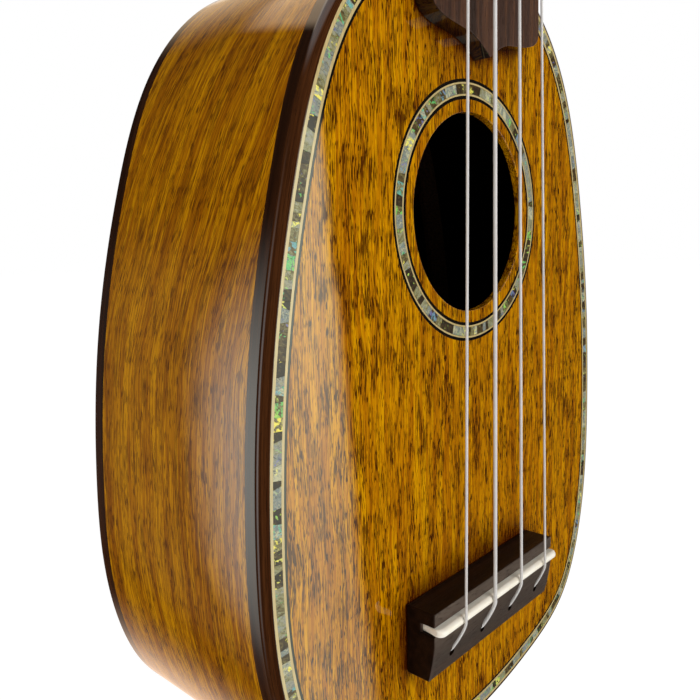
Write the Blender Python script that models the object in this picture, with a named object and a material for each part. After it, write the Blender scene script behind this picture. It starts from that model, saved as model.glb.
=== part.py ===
# Pineapple ukulele, built up as its maker would: rim, plates, bracing, neck, fittings and strings.
# Units are metres. X runs across the strings, -Y faces the player and Z runs up along the strings.
# The origin is on the centre line, at the nut's speaking edge and level with the soundboard.
import math

import bmesh
import bpy
import numpy as np
from mathutils import Matrix, Vector

# Clearances
GAP = 0.0003
INLAY_GAP = 0.0001
RUNNING_GAP = 0.00015
SLIVER = 0.000002
CUTTER_REACH = 0.02
EDGE_ROUND = 0.0006

# Scale and strings
SCALE_LENGTH = 0.330
FRET_COUNT = 12
STRINGS = {"g": 0.0007, "c": 0.0010, "e": 0.0008, "a": 0.00065}
NUT_SPACING = 0.0256
SADDLE_SPACING = 0.0412
STRING_HEIGHT_NUT = 0.0070
STRING_HEIGHT_SADDLE = 0.0116
STRING_SEAT = 0.0001
STRING_MOUTH = 0.0009
STRING_CURL = 0.0032
STRING_CURL_STEPS = 6

# Body
BODY_WIDTH = 0.1492
BODY_PAST_SADDLE = 0.0433
DEPTH_NECK_END = 0.0612
DEPTH_TAIL_END = 0.0668
# Right half of the outline, as shares of the half width and of the length down from the neck end
OUTLINE = [
    (0.000, 0.000), (0.379, 0.022), (0.672, 0.112), (0.857, 0.271), (0.957, 0.437),
    (1.000, 0.625), (0.953, 0.815), (0.782, 0.928), (0.458, 0.978), (0.000, 1.000),
]
OUTLINE_STEPS = 32
OUTLINE_TURN_WEIGHT = 1.2
TOP_THICKNESS = 0.0020
BACK_THICKNESS = 0.0020
SIDE_THICKNESS = 0.0018
BINDING_WIDTH = 0.00185
FRONT_BINDING_HEIGHT = 0.0051
BACK_BINDING_HEIGHT = 0.0040
BINDING_ROUND = 0.0008
PURFLING_DEPTH = 0.0012
PURFLING_CREAM = 0.0006
PURFLING_SHELL = 0.0022
PURFLING_LINES = 0.0012
LINING_WIDTH = 0.0032
LINING_HEIGHT = 0.0062
TAIL_BLOCK_WIDTH = 0.040
TAIL_BLOCK_THICKNESS = 0.010

# Soundhole and rosette
HOLE_FROM_NECK_END = 0.065
HOLE_RADIUS = 0.025
ROSETTE_RADIUS = 0.0281
ROSETTE_LINES = 0.0012
ROSETTE_SHELL = 0.0022
ROSETTE_DEPTH = 0.0010
CIRCLE_STEPS = 40

# Bracing
BRACE_FROM_HOLE = 0.0345
BRACE_WIDTH = 0.005
BRACE_HEIGHT = 0.008
BRACE_END_HEIGHT = 0.003
BRACE_SCALLOP = 0.016
BACK_BRACE_PLACES = (0.052, 0.146)
BRIDGE_PLATE_LENGTH = 0.066
BRIDGE_PLATE_WIDTH = 0.030
BRIDGE_PLATE_THICKNESS = 0.002

# Bridge and saddle
BRIDGE_LENGTH = 0.0598
BRIDGE_FRONT = 0.0048
BRIDGE_BACK = 0.0133
BRIDGE_HEIGHT = 0.0087
BRIDGE_BACK_HEIGHT = 0.0069
BRIDGE_FLAT = 0.0036
BRIDGE_ROUND = 0.0007
SADDLE_THICKNESS = 0.0026
SADDLE_DEPTH = 0.0041
SADDLE_SLOT_GAP = 0.0001
SADDLE_END_ROUND = 0.0012
STRING_HOLE_FROM_SADDLE = 0.0088
STRING_HOLE_SPACING = 0.0429
STRING_HOLE_RADIUS = 0.00095
STRING_HOLE_STEPS = 10
KNOT_RADIUS = 0.0017

# Neck, fretboard and nut
NUT_WIDTH = 0.0360
NUT_THICKNESS = 0.0045
NUT_ABOVE_STRINGS = 0.0002
NECK_DEPTH_NUT = 0.0145
NECK_DEPTH_BODY = 0.0160
NECK_SQUARENESS = 0.95
NECK_SECTION_STEPS = 12
# Sections that lead from the headstock's block to the round neck, as shares of the way and squareness
HEAD_SQUARENESS = 0.3
NECK_TRANSITION_LENGTH = 0.018
NECK_TRANSITION = [(0.0, 0.45), (0.44, 0.75), (1.0, NECK_SQUARENESS)]
HEEL_LENGTH = 0.034
HEEL_STEPS = 8
HEEL_TIP_SHARE = 0.42
HEEL_FULLNESS = 1.12
FOOT_WIDTH = 0.050
FOOT_LENGTH = 0.013
TONGUE_WIDTH = 0.012
TONGUE_OVERLAP = 0.002
FRETBOARD_WIDTH_END = 0.0486
FRETBOARD_THICKNESS = 0.0047
FRETBOARD_PAST_BODY = 0.0276
# Right half of the ogee end, as shares of the half width and of the fall from the shoulder to the tip
OGEE_FALL = 0.0100
OGEE = [
    (0.000, 0.00), (0.165, 0.26), (0.250, 0.40), (0.450, 0.45),
    (0.720, 0.53), (1.000, 0.58), (1.000, 1.00),
]
FRET_WIDTH = 0.0020
FRET_HEIGHT = 0.0009
FRET_TANG_WIDTH = 0.0005
FRET_TANG_DEPTH = 0.0015
FRET_END_INSET = 0.0003

# Headstock
HEAD_TILT = math.radians(10.0)
HEAD_THICKNESS = 0.0110
VENEER_THICKNESS = 0.0016
HEAD_ROOT_OVERLAP = 0.0015
HEAD_WIDTH = 0.0580
HEAD_LENGTH = 0.1070
# Right half of the headstock above the nut, as shares of its half width and of its length
HEAD_OUTLINE = [
    (0.655, 0.075), (0.828, 0.206), (0.945, 0.374), (0.979, 0.579), (1.000, 0.785),
    (0.938, 0.897), (0.621, 0.935), (0.276, 0.972), (0.000, 1.000),
]

# Tuners: worm and gear
NEAR_POST_SPREAD = 0.0350
NEAR_POST_RISE = 0.0330
FAR_POST_SPREAD = 0.0380
FAR_POST_RISE = 0.0710
GEAR_TEETH = 14
GEAR_PITCH_RADIUS = 0.0043
GEAR_ADDENDUM = 0.00055
GEAR_DEDENDUM = 0.00065
GEAR_THICKNESS = 0.0030
TOOTH_SHARE = 0.38
PRESSURE_ANGLE = math.radians(20.0)
WORM_PITCH_RADIUS = 0.0020
WORM_ADDENDUM = 0.0005
WORM_DEDENDUM = 0.00075
WORM_LENGTH = 0.0066
WORM_SIDES = 10
JOURNAL_RADIUS = 0.0011
SHAFT_REACH = 0.0190
EAR_THICKNESS = 0.0012
EAR_WIDTH = 0.0050
PLATE_THICKNESS = 0.0010
PLATE_WIDTH = 0.0104
PLATE_TAB = 0.0052
PLATE_CORNER = 0.0024
POST_RADIUS = 0.0025
POST_WAIST_RADIUS = 0.0022
POST_CAP_RADIUS = 0.0027
POST_HEIGHT = 0.0112
POST_WAIST_ENDS = (0.0026, 0.0086)
POST_SHOULDER = 0.0008
POST_CAP_ROUND = 0.0005
EYE_RADIUS = 0.0008
EYE_FROM_CAP = 0.0034
GEAR_HUB_RADIUS = 0.0030
GEAR_SCREW_RADIUS = 0.0020
GEAR_SCREW_RISE = 0.0012
BUSHING_RADIUS = 0.0042
BUSHING_HEIGHT = 0.0012
POST_HOLE_CLEARANCE = 0.0006
BUTTON_LENGTH = 0.0150
BUTTON_WIDTH = 0.0130
BUTTON_THICKNESS = 0.0066
BUTTON_START = 0.0135
BUTTON_OVALNESS = 0.7
BUTTON_FLATNESS = 1.1
WRAP_TURNS = 1.75
WRAP_STEPS = 16
WRAP_CLEARANCE = 0.0002
WRAP_GAP = 0.0005

# Places that follow from the sizes above
BODY_TOP = -SCALE_LENGTH / 2
BODY_TAIL = -SCALE_LENGTH - BODY_PAST_SADDLE
BODY_LENGTH = BODY_TOP - BODY_TAIL
HOLE_Z = BODY_TOP - HOLE_FROM_NECK_END
SADDLE_Z = -SCALE_LENGTH
BRIDGE_TOP_Z = SADDLE_Z + BRIDGE_FRONT
BRIDGE_TAIL_Z = SADDLE_Z - BRIDGE_BACK
STRING_HOLE_Z = SADDLE_Z - STRING_HOLE_FROM_SADDLE
FRETBOARD_TOP = GAP + FRETBOARD_THICKNESS
FRETBOARD_TIP = BODY_TOP - FRETBOARD_PAST_BODY
FRETBOARD_SHOULDER = FRETBOARD_TIP + OGEE_FALL
CREAM_INSET = BINDING_WIDTH + INLAY_GAP
SHELL_INSET = CREAM_INSET + PURFLING_CREAM + INLAY_GAP
LINES_INSET = SHELL_INSET + PURFLING_SHELL + INLAY_GAP
PANEL_INSET = LINES_INSET + PURFLING_LINES + INLAY_GAP
LINING_INSET = BINDING_WIDTH + GAP
LINING_EDGE = LINING_INSET + LINING_WIDTH
POST_PLACES = [
    (-NEAR_POST_SPREAD / 2, NEAR_POST_RISE), (-FAR_POST_SPREAD / 2, FAR_POST_RISE),
    (FAR_POST_SPREAD / 2, FAR_POST_RISE), (NEAR_POST_SPREAD / 2, NEAR_POST_RISE),
]
EYE_HEIGHT = POST_HEIGHT - EYE_FROM_CAP
HEAD_ORIGIN = Vector((0.0, 0.0, NUT_THICKNESS + 2 * GAP))
HEAD_BACK = VENEER_THICKNESS + GAP + HEAD_THICKNESS
HEAD_TURN = Matrix.Translation(HEAD_ORIGIN) @ Matrix.Rotation(-HEAD_TILT, 4, "X")
PLATE_BACK = GAP + PLATE_THICKNESS
WORM_HEIGHT = PLATE_BACK + GAP + WORM_PITCH_RADIUS + WORM_ADDENDUM
AXLE_DISTANCE = GEAR_PITCH_RADIUS + WORM_PITCH_RADIUS
WORM_LEAD = 2 * math.pi * GEAR_PITCH_RADIUS / GEAR_TEETH
EAR_START = WORM_LENGTH / 2 + GAP
EAR_END = EAR_START + EAR_THICKNESS


def depth_at(z):
    """Depth of the body's back plane below the soundboard."""
    share = (BODY_TOP - z) / BODY_LENGTH
    return DEPTH_NECK_END + share * (DEPTH_TAIL_END - DEPTH_NECK_END)


def level(depth):
    """A plane parallel to the soundboard."""
    return lambda z: depth


def above_back(distance):
    """A plane parallel to the back, the distance above it."""
    return lambda z: depth_at(z) - distance


# Colours

def material(name, colour, roughness, metallic=0.0):
    """A plain Principled material, kept by name."""
    made = bpy.data.materials.get(name)
    if made is None:
        made = bpy.data.materials.new(name)
        made.use_nodes = True
        shader = made.node_tree.nodes["Principled BSDF"]
        shader.inputs["Base Color"].default_value = (*colour, 1.0)
        shader.inputs["Roughness"].default_value = roughness
        shader.inputs["Metallic"].default_value = metallic
    return made


COLOURS = {
    "koa": ((0.47, 0.22, 0.05), 0.25),
    "rosewood": ((0.08, 0.035, 0.022), 0.35),
    "mahogany": ((0.27, 0.11, 0.05), 0.3),
    "spruce": ((0.66, 0.48, 0.27), 0.7),
    "abalone": ((0.45, 0.6, 0.52), 0.2),
    "cream": ((0.76, 0.67, 0.48), 0.3),
    "black": ((0.02, 0.018, 0.015), 0.3),
    "bone": ((0.86, 0.8, 0.66), 0.35),
    "nylon": ((0.85, 0.85, 0.83), 0.2),
    "pearl": ((0.85, 0.82, 0.74), 0.2),
}
METALS = {"nickel": ((0.72, 0.7, 0.66), 0.25), "brass": ((0.72, 0.5, 0.2), 0.3)}


def finish(name):
    """The material of that name."""
    if name in METALS:
        return material(name, *METALS[name], metallic=1.0)
    return material(name, *COLOURS[name])


# Mesh helpers

def add(name, verts, faces, colour, parent=None, smooth_angle=35.0):
    """An object made from points and faces, with its own material."""
    mesh = bpy.data.meshes.new(name)
    mesh.from_pydata(verts, [], faces)
    shape = bmesh.new()
    shape.from_mesh(mesh)
    bmesh.ops.remove_doubles(shape, verts=shape.verts, dist=1e-7)
    bmesh.ops.recalc_face_normals(shape, faces=shape.faces)
    shape.to_mesh(mesh)
    shape.free()
    mesh.materials.append(finish(colour))
    mesh.shade_smooth()
    mesh.set_sharp_from_angle(angle=math.radians(smooth_angle))
    made = bpy.data.objects.new(name, mesh)
    bpy.context.scene.collection.objects.link(made)
    made.parent = parent
    return made


def combine(body, operation, tools, smooth_angle=35.0):
    """Join the tools to the body or cut them from it, and keep one plain mesh."""
    for tool in tools:
        tool.hide_render = True
        tool.display_type = "WIRE"
        modifier = body.modifiers.new(operation.lower(), "BOOLEAN")
        modifier.operation = operation
        modifier.solver = "EXACT"
        modifier.object = tool
    bpy.context.view_layer.update()
    evaluated = body.evaluated_get(bpy.context.evaluated_depsgraph_get())
    mesh = bpy.data.meshes.new_from_object(evaluated)
    colour = body.data.materials[0]
    shape = bmesh.new()
    shape.from_mesh(mesh)
    bmesh.ops.dissolve_degenerate(shape, edges=shape.edges, dist=SLIVER)
    shape.to_mesh(mesh)
    shape.free()
    body.modifiers.clear()
    body.data = mesh
    mesh.materials.clear()
    mesh.materials.append(colour)
    mesh.shade_smooth()
    mesh.set_sharp_from_angle(angle=math.radians(smooth_angle))
    for tool in tools:
        bpy.data.objects.remove(tool)
    return body


def stack(loops):
    """Points and faces of a closed body through loops of equal count, capped at both ends."""
    count = len(loops[0])
    verts = [point for loop in loops for point in loop]
    faces = [tuple(range(count)), tuple(range(len(verts) - count, len(verts)))]
    for row in range(len(loops) - 1):
        for i in range(count):
            j = (i + 1) % count
            faces.append((row * count + i, row * count + j, (row + 1) * count + j, (row + 1) * count + i))
    return verts, faces


def prism(plan, front, back):
    """A slab whose plan is a loop of (x, z), between two planes given as functions of z."""
    return stack([[(x, plane(z), z) for x, z in plan] for plane in (front, back)])


def pierced(regions, walls):
    """Points and faces of a plate from filled regions, each a list of loops, and walls through loops."""
    shape = bmesh.new()
    for loops in regions:
        edges = []
        for loop in loops:
            corners = [shape.verts.new(point) for point in loop]
            edges += [shape.edges.new((a, b)) for a, b in zip(corners, corners[1:] + corners[:1])]
        bmesh.ops.triangle_fill(shape, edges=edges, use_beauty=True, normal=(0.0, 1.0, 0.0))
    shape.verts.index_update()
    verts = [tuple(corner.co) for corner in shape.verts]
    faces = [tuple(corner.index for corner in face.verts) for face in shape.faces]
    shape.free()
    for wall in walls:
        more, sides = stack(wall)
        faces += [tuple(len(verts) + i for i in face) for face in sides[2:]]
        verts += more
    return verts, faces


def bar_along_x(profile, half_length):
    """A bar along X with a profile of (y, z)."""
    return stack([[(x, y, z) for y, z in profile] for x in (-half_length, half_length)])


def sweep(stations, profile, closed):
    """A profile of (inset, plane) carried round stations of (x, z, normal x, normal z)."""
    rows = []
    for x, z, normal_x, normal_z in stations:
        row = []
        for inset, plane in profile:
            inner_z = z - normal_z * inset
            row.append((x - normal_x * inset, plane(inner_z), inner_z))
        rows.append(row)
    if not closed:
        return stack(rows)
    verts, faces = stack(rows + [rows[0]])
    return verts, faces[2:]


def turned(profile, sides, centre=(0.0, 0.0)):
    """A body turned about Y from (radius, y) points, capped at both ends."""
    loops = []
    for radius, y in profile:
        angles = [2 * math.pi * k / sides for k in range(sides)]
        loops.append([(centre[0] + radius * math.cos(a), y, centre[1] + radius * math.sin(a)) for a in angles])
    return stack(loops)


def bezier(points, steps):
    """Points on a chain of cubic curves, without the last one."""
    made = []
    for start in range(0, len(points) - 1, 3):
        a, b, c, d = [Vector(point) for point in points[start:start + 4]]
        for step in range(steps):
            t = step / steps
            s = 1 - t
            made.append(a * s**3 + b * 3 * s * s * t + c * 3 * s * t * t + d * t**3)
    return made


def closed_spline(points, count):
    """Points and outward normals on a smooth closed curve through the points."""
    knots = np.array(points)
    step = np.roll(knots, -1, axis=0) - knots
    length = np.linalg.norm(step, axis=1)
    size = len(knots)
    system = np.zeros((size, size))
    target = np.zeros((size, 2))
    for i in range(size):
        before = length[i - 1]
        after = length[i]
        system[i, i - 1] = before
        system[i, i] = 2 * (before + after)
        system[i, (i + 1) % size] = after
        target[i] = 6 * (step[i] / after - step[i - 1] / before)
    bend = np.linalg.solve(system, target)
    made = []
    for i in range(size):
        j = (i + 1) % size
        for t in np.linspace(0.0, 1.0, count, endpoint=False):
            s = 1 - t
            bow = (s**3 - s) * bend[i] + (t**3 - t) * bend[j]
            made.append(s * knots[i] + t * knots[j] + bow * length[i] ** 2 / 6)
    return np.array(made)


def outline_stations():
    """The body outline as (x, z, normal x, normal z), closer together where it turns."""
    right = [(x * BODY_WIDTH / 2, BODY_TOP - down * BODY_LENGTH) for x, down in OUTLINE]
    left = [(-x, z) for x, z in right[-2:0:-1]]
    dense = closed_spline(right + left, 200)
    half = dense[:(len(OUTLINE) - 1) * 200 + 1]
    step = np.gradient(half, axis=0)
    pace = np.linalg.norm(step, axis=1)
    normals = np.stack([-step[:, 1], step[:, 0]], axis=1) / pace[:, None]
    heading = np.unwrap(np.arctan2(step[:, 1], step[:, 0]))
    turn = np.abs(np.gradient(heading))
    weight = pace / pace.sum() + OUTLINE_TURN_WEIGHT * turn / turn.sum()
    travelled = np.concatenate([[0.0], np.cumsum(weight[1:])])
    places = np.linspace(0.0, travelled[-1], OUTLINE_STEPS + 1)
    columns = [np.interp(places, travelled, values) for values in (*half.T, *normals.T)]
    rows = [tuple(float(value) for value in row) for row in zip(*columns)]
    rows[0] = (0.0, BODY_TOP, 0.0, 1.0)
    rows[-1] = (0.0, BODY_TAIL, 0.0, -1.0)
    return rows


RIGHT = outline_stations()
RING = RIGHT + [(-x, z, -nx, nz) for x, z, nx, nz in RIGHT[-2:0:-1]]


def inset_loop(inset, stations=None):
    """The outline moved inwards, as (x, z)."""
    return [(x - nx * inset, z - nz * inset) for x, z, nx, nz in (stations or RING)]


def half_strip(side, inset, top_x, tail_x):
    """The stations of one half, cut where its inset edge is some distance from the centre line."""
    rows = []
    reach = [x - nx * inset for x, z, nx, nz in RIGHT]
    turning = reach.index(max(reach))
    for i in range(len(RIGHT) - 1):
        limit = top_x if i < turning else tail_x
        if reach[i] >= limit:
            rows.append(RIGHT[i])
        if (reach[i] - limit) * (reach[i + 1] - limit) < 0:
            share = (limit - reach[i]) / (reach[i + 1] - reach[i])
            rows.append(tuple(a + share * (b - a) for a, b in zip(RIGHT[i], RIGHT[i + 1])))
    return [(side * x, z, side * nx, nz) for x, z, nx, nz in rows]


def half_width_at(z, inset):
    """Half the body's width at a height, measured inside the inset."""
    loop = inset_loop(inset, RIGHT)
    for (x0, z0), (x1, z1) in zip(loop, loop[1:]):
        if z1 <= z <= z0:
            return x0 + (x1 - x0) * (z0 - z) / (z0 - z1)
    return 0.0


# Rim

def rounded_band(outer, inner, edge, far):
    """Profile of a binding with a rounded outer edge; edge and far are planes, edge on the outside."""
    sign = 1.0 if far(BODY_TOP) > edge(BODY_TOP) else -1.0
    return [
        (inner, edge),
        (outer + BINDING_ROUND, edge),
        (outer, lambda z: edge(z) + sign * BINDING_ROUND),
        (outer, far),
        (inner, far),
    ]


def make_rim():
    """Two bent sides, their linings and the tail block."""
    side_front = level(FRONT_BINDING_HEIGHT + GAP)
    side_back = above_back(BACK_BINDING_HEIGHT + GAP)
    lining_front = level(TOP_THICKNESS + GAP)
    lining_front_foot = level(TOP_THICKNESS + GAP + LINING_HEIGHT)
    lining_back = above_back(BACK_THICKNESS + GAP)
    lining_back_foot = above_back(BACK_THICKNESS + GAP + LINING_HEIGHT)
    side_profile = [(0.0, side_front), (SIDE_THICKNESS, side_front), (SIDE_THICKNESS, side_back), (0.0, side_back)]
    lip = 0.3 * LINING_HEIGHT
    front_lip = level(TOP_THICKNESS + GAP + lip)
    back_lip = above_back(BACK_THICKNESS + GAP + lip)
    front_profile = [
        (LINING_INSET, lining_front), (LINING_EDGE, lining_front), (LINING_EDGE, front_lip),
        (LINING_INSET, lining_front_foot),
    ]
    back_profile = [
        (LINING_INSET, lining_back), (LINING_EDGE, lining_back), (LINING_EDGE, back_lip),
        (LINING_INSET, lining_back_foot),
    ]
    for word, side in (("bass", -1), ("treble", 1)):
        strip = half_strip(side, SIDE_THICKNESS, TONGUE_WIDTH / 2 + GAP, GAP / 2)
        add("side_" + word, *sweep(strip, side_profile, False), "koa")
        strip = half_strip(side, LINING_EDGE, FOOT_WIDTH / 2 + GAP, TAIL_BLOCK_WIDTH / 2 + GAP)
        add("lining_front_" + word, *sweep(strip, front_profile, False), "spruce")
        add("lining_back_" + word, *sweep(strip, back_profile, False), "spruce")
    plan = block_plan(TAIL_BLOCK_WIDTH / 2, BODY_TAIL + LINING_INSET + TAIL_BLOCK_THICKNESS, RIGHT[-1][1])
    add("tail_block", *prism(plan, lining_front, lining_back), "mahogany")


def block_plan(half_width, straight_z, curved_z):
    """Plan of a block that follows the rim on one side and is straight on the other."""
    near = [row for row in RIGHT if abs(row[1] - curved_z) < BODY_LENGTH / 3]
    loop = inset_loop(LINING_INSET, near)
    if loop[0][0] > loop[-1][0]:
        loop = loop[::-1]
    right = []
    for (x0, z0), (x1, z1) in zip(loop, loop[1:]):
        right.append((x0, z0))
        if x1 > half_width:
            share = (half_width - x0) / (x1 - x0)
            right.append((half_width, z0 + share * (z1 - z0)))
            break
    curve = [(-x, z) for x, z in right[:0:-1]] + right
    return curve + [(half_width, straight_z), (-half_width, straight_z)]


def make_bindings():
    """Dark bindings round both edges and the inlaid purfling round the front."""
    front = rounded_band(0.0, BINDING_WIDTH, level(0.0), level(FRONT_BINDING_HEIGHT))
    back = rounded_band(0.0, BINDING_WIDTH, above_back(0.0), above_back(BACK_BINDING_HEIGHT))
    add("binding_front", *sweep(RING, front, True), "rosewood")
    add("binding_back", *sweep(RING, back, True), "rosewood")
    strips = [
        ("purfling_cream", CREAM_INSET, PURFLING_CREAM, "cream"),
        ("purfling_abalone", SHELL_INSET, PURFLING_SHELL, "abalone"),
        ("purfling_lines", LINES_INSET, PURFLING_LINES, "black"),
    ]
    for name, inset, width, colour in strips:
        profile = [(inset, level(0.0)), (inset + width, level(0.0))]
        profile += [(inset + width, level(PURFLING_DEPTH)), (inset, level(PURFLING_DEPTH))]
        add(name, *sweep(RING, profile, True), colour)


# Plates and bracing

def circle(radius, depth, centre=(0.0, HOLE_Z), steps=CIRCLE_STEPS):
    """A loop round a centre given as (x, z), at a depth."""
    angles = [2 * math.pi * k / steps for k in range(steps)]
    return [(centre[0] + radius * math.cos(a), depth, centre[1] + radius * math.sin(a)) for a in angles]


def string_circles(depth):
    """Loops of the four string holes at a depth."""
    places = [STRING_HOLE_SPACING * (i / (len(STRINGS) - 1) - 0.5) for i in range(len(STRINGS))]
    return [circle(STRING_HOLE_RADIUS, depth, (x, STRING_HOLE_Z), STRING_HOLE_STEPS) for x in places]


def string_hole_walls(first, last):
    """Walls of the four string holes between two depths."""
    return [list(pair) for pair in zip(string_circles(first), string_circles(last))]


def make_soundboard():
    """Soundboard with its soundhole, rosette channel, purfling ledge and string holes."""
    shell = ROSETTE_RADIUS + ROSETTE_LINES + INLAY_GAP
    outer_lines = shell + ROSETTE_SHELL + INLAY_GAP
    channel_start = ROSETTE_RADIUS - INLAY_GAP
    channel_end = outer_lines + ROSETTE_LINES + INLAY_GAP
    channel_floor = ROSETTE_DEPTH + INLAY_GAP
    ledge = PURFLING_DEPTH + INLAY_GAP
    layers = [(PANEL_INSET, 0.0), (PANEL_INSET, ledge), (CREAM_INSET, ledge), (CREAM_INSET, TOP_THICKNESS)]
    edge = [[(x, depth, z) for x, z in inset_loop(inset)] for inset, depth in layers]
    steps = [(channel_end, 0.0), (channel_end, channel_floor), (channel_start, channel_floor)]
    steps += [(channel_start, 0.0), (HOLE_RADIUS, 0.0), (HOLE_RADIUS, TOP_THICKNESS)]
    bore = [circle(radius, depth) for radius, depth in steps]
    regions = [[edge[0], bore[0]] + string_circles(0.0), [edge[-1], bore[-1]] + string_circles(TOP_THICKNESS)]
    walls = [edge, bore] + string_hole_walls(0.0, TOP_THICKNESS)
    add("soundboard", *pierced(regions, walls), "koa")
    rings = [
        ("rosette_inner_lines", ROSETTE_RADIUS, ROSETTE_LINES, "black"),
        ("rosette_abalone", shell, ROSETTE_SHELL, "abalone"),
        ("rosette_outer_lines", outer_lines, ROSETTE_LINES, "black"),
    ]
    for name, radius, width, colour in rings:
        section = [(radius, 0.0), (radius + width, 0.0), (radius + width, ROSETTE_DEPTH), (radius, ROSETTE_DEPTH)]
        verts, faces = stack([circle(*corner) for corner in section + section[:1]])
        add(name, verts, faces[2:], colour)


def make_back():
    """Flat back plate, set inside its binding."""
    loop = inset_loop(BINDING_WIDTH + INLAY_GAP)
    add("back_plate", *prism(loop, above_back(BACK_THICKNESS), above_back(0.0)), "koa")


def brace(name, z, seat, direction):
    """A bar across the body with thinned ends, glued to a plate given as a plane."""
    half = half_width_at(z, LINING_EDGE + 2 * GAP)
    half = min(half, half_width_at(z + BRACE_WIDTH, LINING_EDGE + 2 * GAP))
    profile = [(-half, 0.0), (half, 0.0), (half, BRACE_END_HEIGHT), (half - BRACE_SCALLOP, BRACE_HEIGHT)]
    profile += [(BRACE_SCALLOP - half, BRACE_HEIGHT), (-half, BRACE_END_HEIGHT)]
    loops = []
    for edge in (z - BRACE_WIDTH / 2, z + BRACE_WIDTH / 2):
        loops.append([(x, seat(edge) + direction * rise, edge) for x, rise in profile])
    add(name, *stack(loops), "spruce")


def make_bracing():
    """Two braces and the bridge plate under the soundboard, and two braces on the back."""
    top = level(TOP_THICKNESS + GAP)
    brace("brace_upper", HOLE_Z + BRACE_FROM_HOLE, top, 1.0)
    brace("brace_lower", HOLE_Z - BRACE_FROM_HOLE, top, 1.0)
    back = above_back(BACK_THICKNESS + GAP)
    for word, distance in zip(("upper", "lower"), BACK_BRACE_PLACES):
        brace("back_brace_" + word, BODY_TOP - distance, back, -1.0)
    middle = (BRIDGE_TOP_Z + BRIDGE_TAIL_Z) / 2
    x, z = BRIDGE_PLATE_LENGTH / 2, BRIDGE_PLATE_WIDTH / 2
    plan = [(-x, middle - z), (x, middle - z), (x, middle + z), (-x, middle + z)]
    front = TOP_THICKNESS + GAP
    back = front + BRIDGE_PLATE_THICKNESS
    edge = [[(x, depth, z) for x, z in plan] for depth in (front, back)]
    regions = [[edge[0]] + string_circles(front), [edge[1]] + string_circles(back)]
    add("bridge_plate", *pierced(regions, [edge] + string_hole_walls(front, back)), "rosewood")


# Bridge and saddle

def make_bridge():
    """Bridge block with a through saddle slot, a falling back and string holes."""
    tail = BRIDGE_TAIL_Z
    start, end = SADDLE_Z - BRIDGE_FLAT, tail + BRIDGE_ROUND
    drop = BRIDGE_HEIGHT - BRIDGE_BACK_HEIGHT
    fall = [
        (-BRIDGE_HEIGHT, start), (-BRIDGE_HEIGHT + drop / 6, start + (end - start) / 3),
        (-BRIDGE_BACK_HEIGHT - drop / 3, end + (start - end) / 6), (-BRIDGE_BACK_HEIGHT, end),
    ]
    profile = [(-GAP, BRIDGE_TOP_Z), (-BRIDGE_HEIGHT + BRIDGE_ROUND, BRIDGE_TOP_Z)]
    profile.append((-BRIDGE_HEIGHT, BRIDGE_TOP_Z - BRIDGE_ROUND))
    profile += [tuple(point) for point in bezier(fall, 5)]
    profile += [(-BRIDGE_BACK_HEIGHT, end), (-BRIDGE_BACK_HEIGHT + BRIDGE_ROUND, tail)]
    profile.append((-GAP, tail))
    block = add("bridge", *bar_along_x(profile, BRIDGE_LENGTH / 2), "rosewood")
    half = SADDLE_THICKNESS / 2 + SADDLE_SLOT_GAP
    floor = -BRIDGE_HEIGHT + SADDLE_DEPTH + GAP
    slot = [(y, SADDLE_Z + z) for y, z in ((-CUTTER_REACH, -half), (-CUTTER_REACH, half), (floor, half), (floor, -half))]
    cutters = [add("cutter", *bar_along_x(slot, BRIDGE_LENGTH), "black")]
    for wall in string_hole_walls(-CUTTER_REACH, CUTTER_REACH):
        cutters.append(add("cutter", *stack(wall), "black"))
    combine(block, "DIFFERENCE", cutters)


def make_saddle():
    """Bone saddle with a rounded crest and rounded ends."""
    crest = STRING_HEIGHT_SADDLE - max(STRINGS.values()) / 2 - STRING_SEAT
    half = SADDLE_THICKNESS / 2
    foot = BRIDGE_HEIGHT - SADDLE_DEPTH
    profile = [(-foot, SADDLE_Z - half), (-foot, SADDLE_Z + half)]
    for k in range(7):
        angle = math.pi * k / 6
        profile.append((half - crest - half * math.sin(angle), SADDLE_Z + half * math.cos(angle)))
    loops = []
    ends = []
    for k in range(3):
        angle = math.pi / 4 * k
        inset = SADDLE_END_ROUND * (1 - math.cos(angle))
        ends.append((inset - BRIDGE_LENGTH / 2, SADDLE_END_ROUND * (1 - math.sin(angle))))
    ends += [(-x, drop) for x, drop in ends[::-1]]
    for x, drop in ends:
        loops.append([(x, min(y + drop, -foot), z) if y < -foot else (x, y, z) for y, z in profile])
    add("saddle", *stack(loops), "bone")


# Neck and headstock

def fretboard_half_width(z):
    """Half the fretboard's width at a height."""
    share = -z / -FRETBOARD_SHOULDER
    return (NUT_WIDTH + share * (FRETBOARD_WIDTH_END - NUT_WIDTH)) / 2


def neck_section(z, half_width, depth, squareness, heel):
    """A row of points round the neck's underside, from its left edge to its right edge."""
    row = []
    for k in range(NECK_SECTION_STEPS + 1):
        angle = math.pi * (1 - k / NECK_SECTION_STEPS)
        side = math.copysign(abs(math.cos(angle)) ** squareness, math.cos(angle))
        sink = math.sin(angle) ** squareness
        taper = side * (HEEL_TIP_SHARE + (1 - HEEL_TIP_SHARE) * (1 - math.sin(angle)))
        x = (1 - heel) * side + heel * taper
        y = (1 - heel) * sink + heel * min(1.0, HEEL_FULLNESS * math.sin(angle))
        row.append((half_width * x, depth * y, z))
    return row


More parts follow.
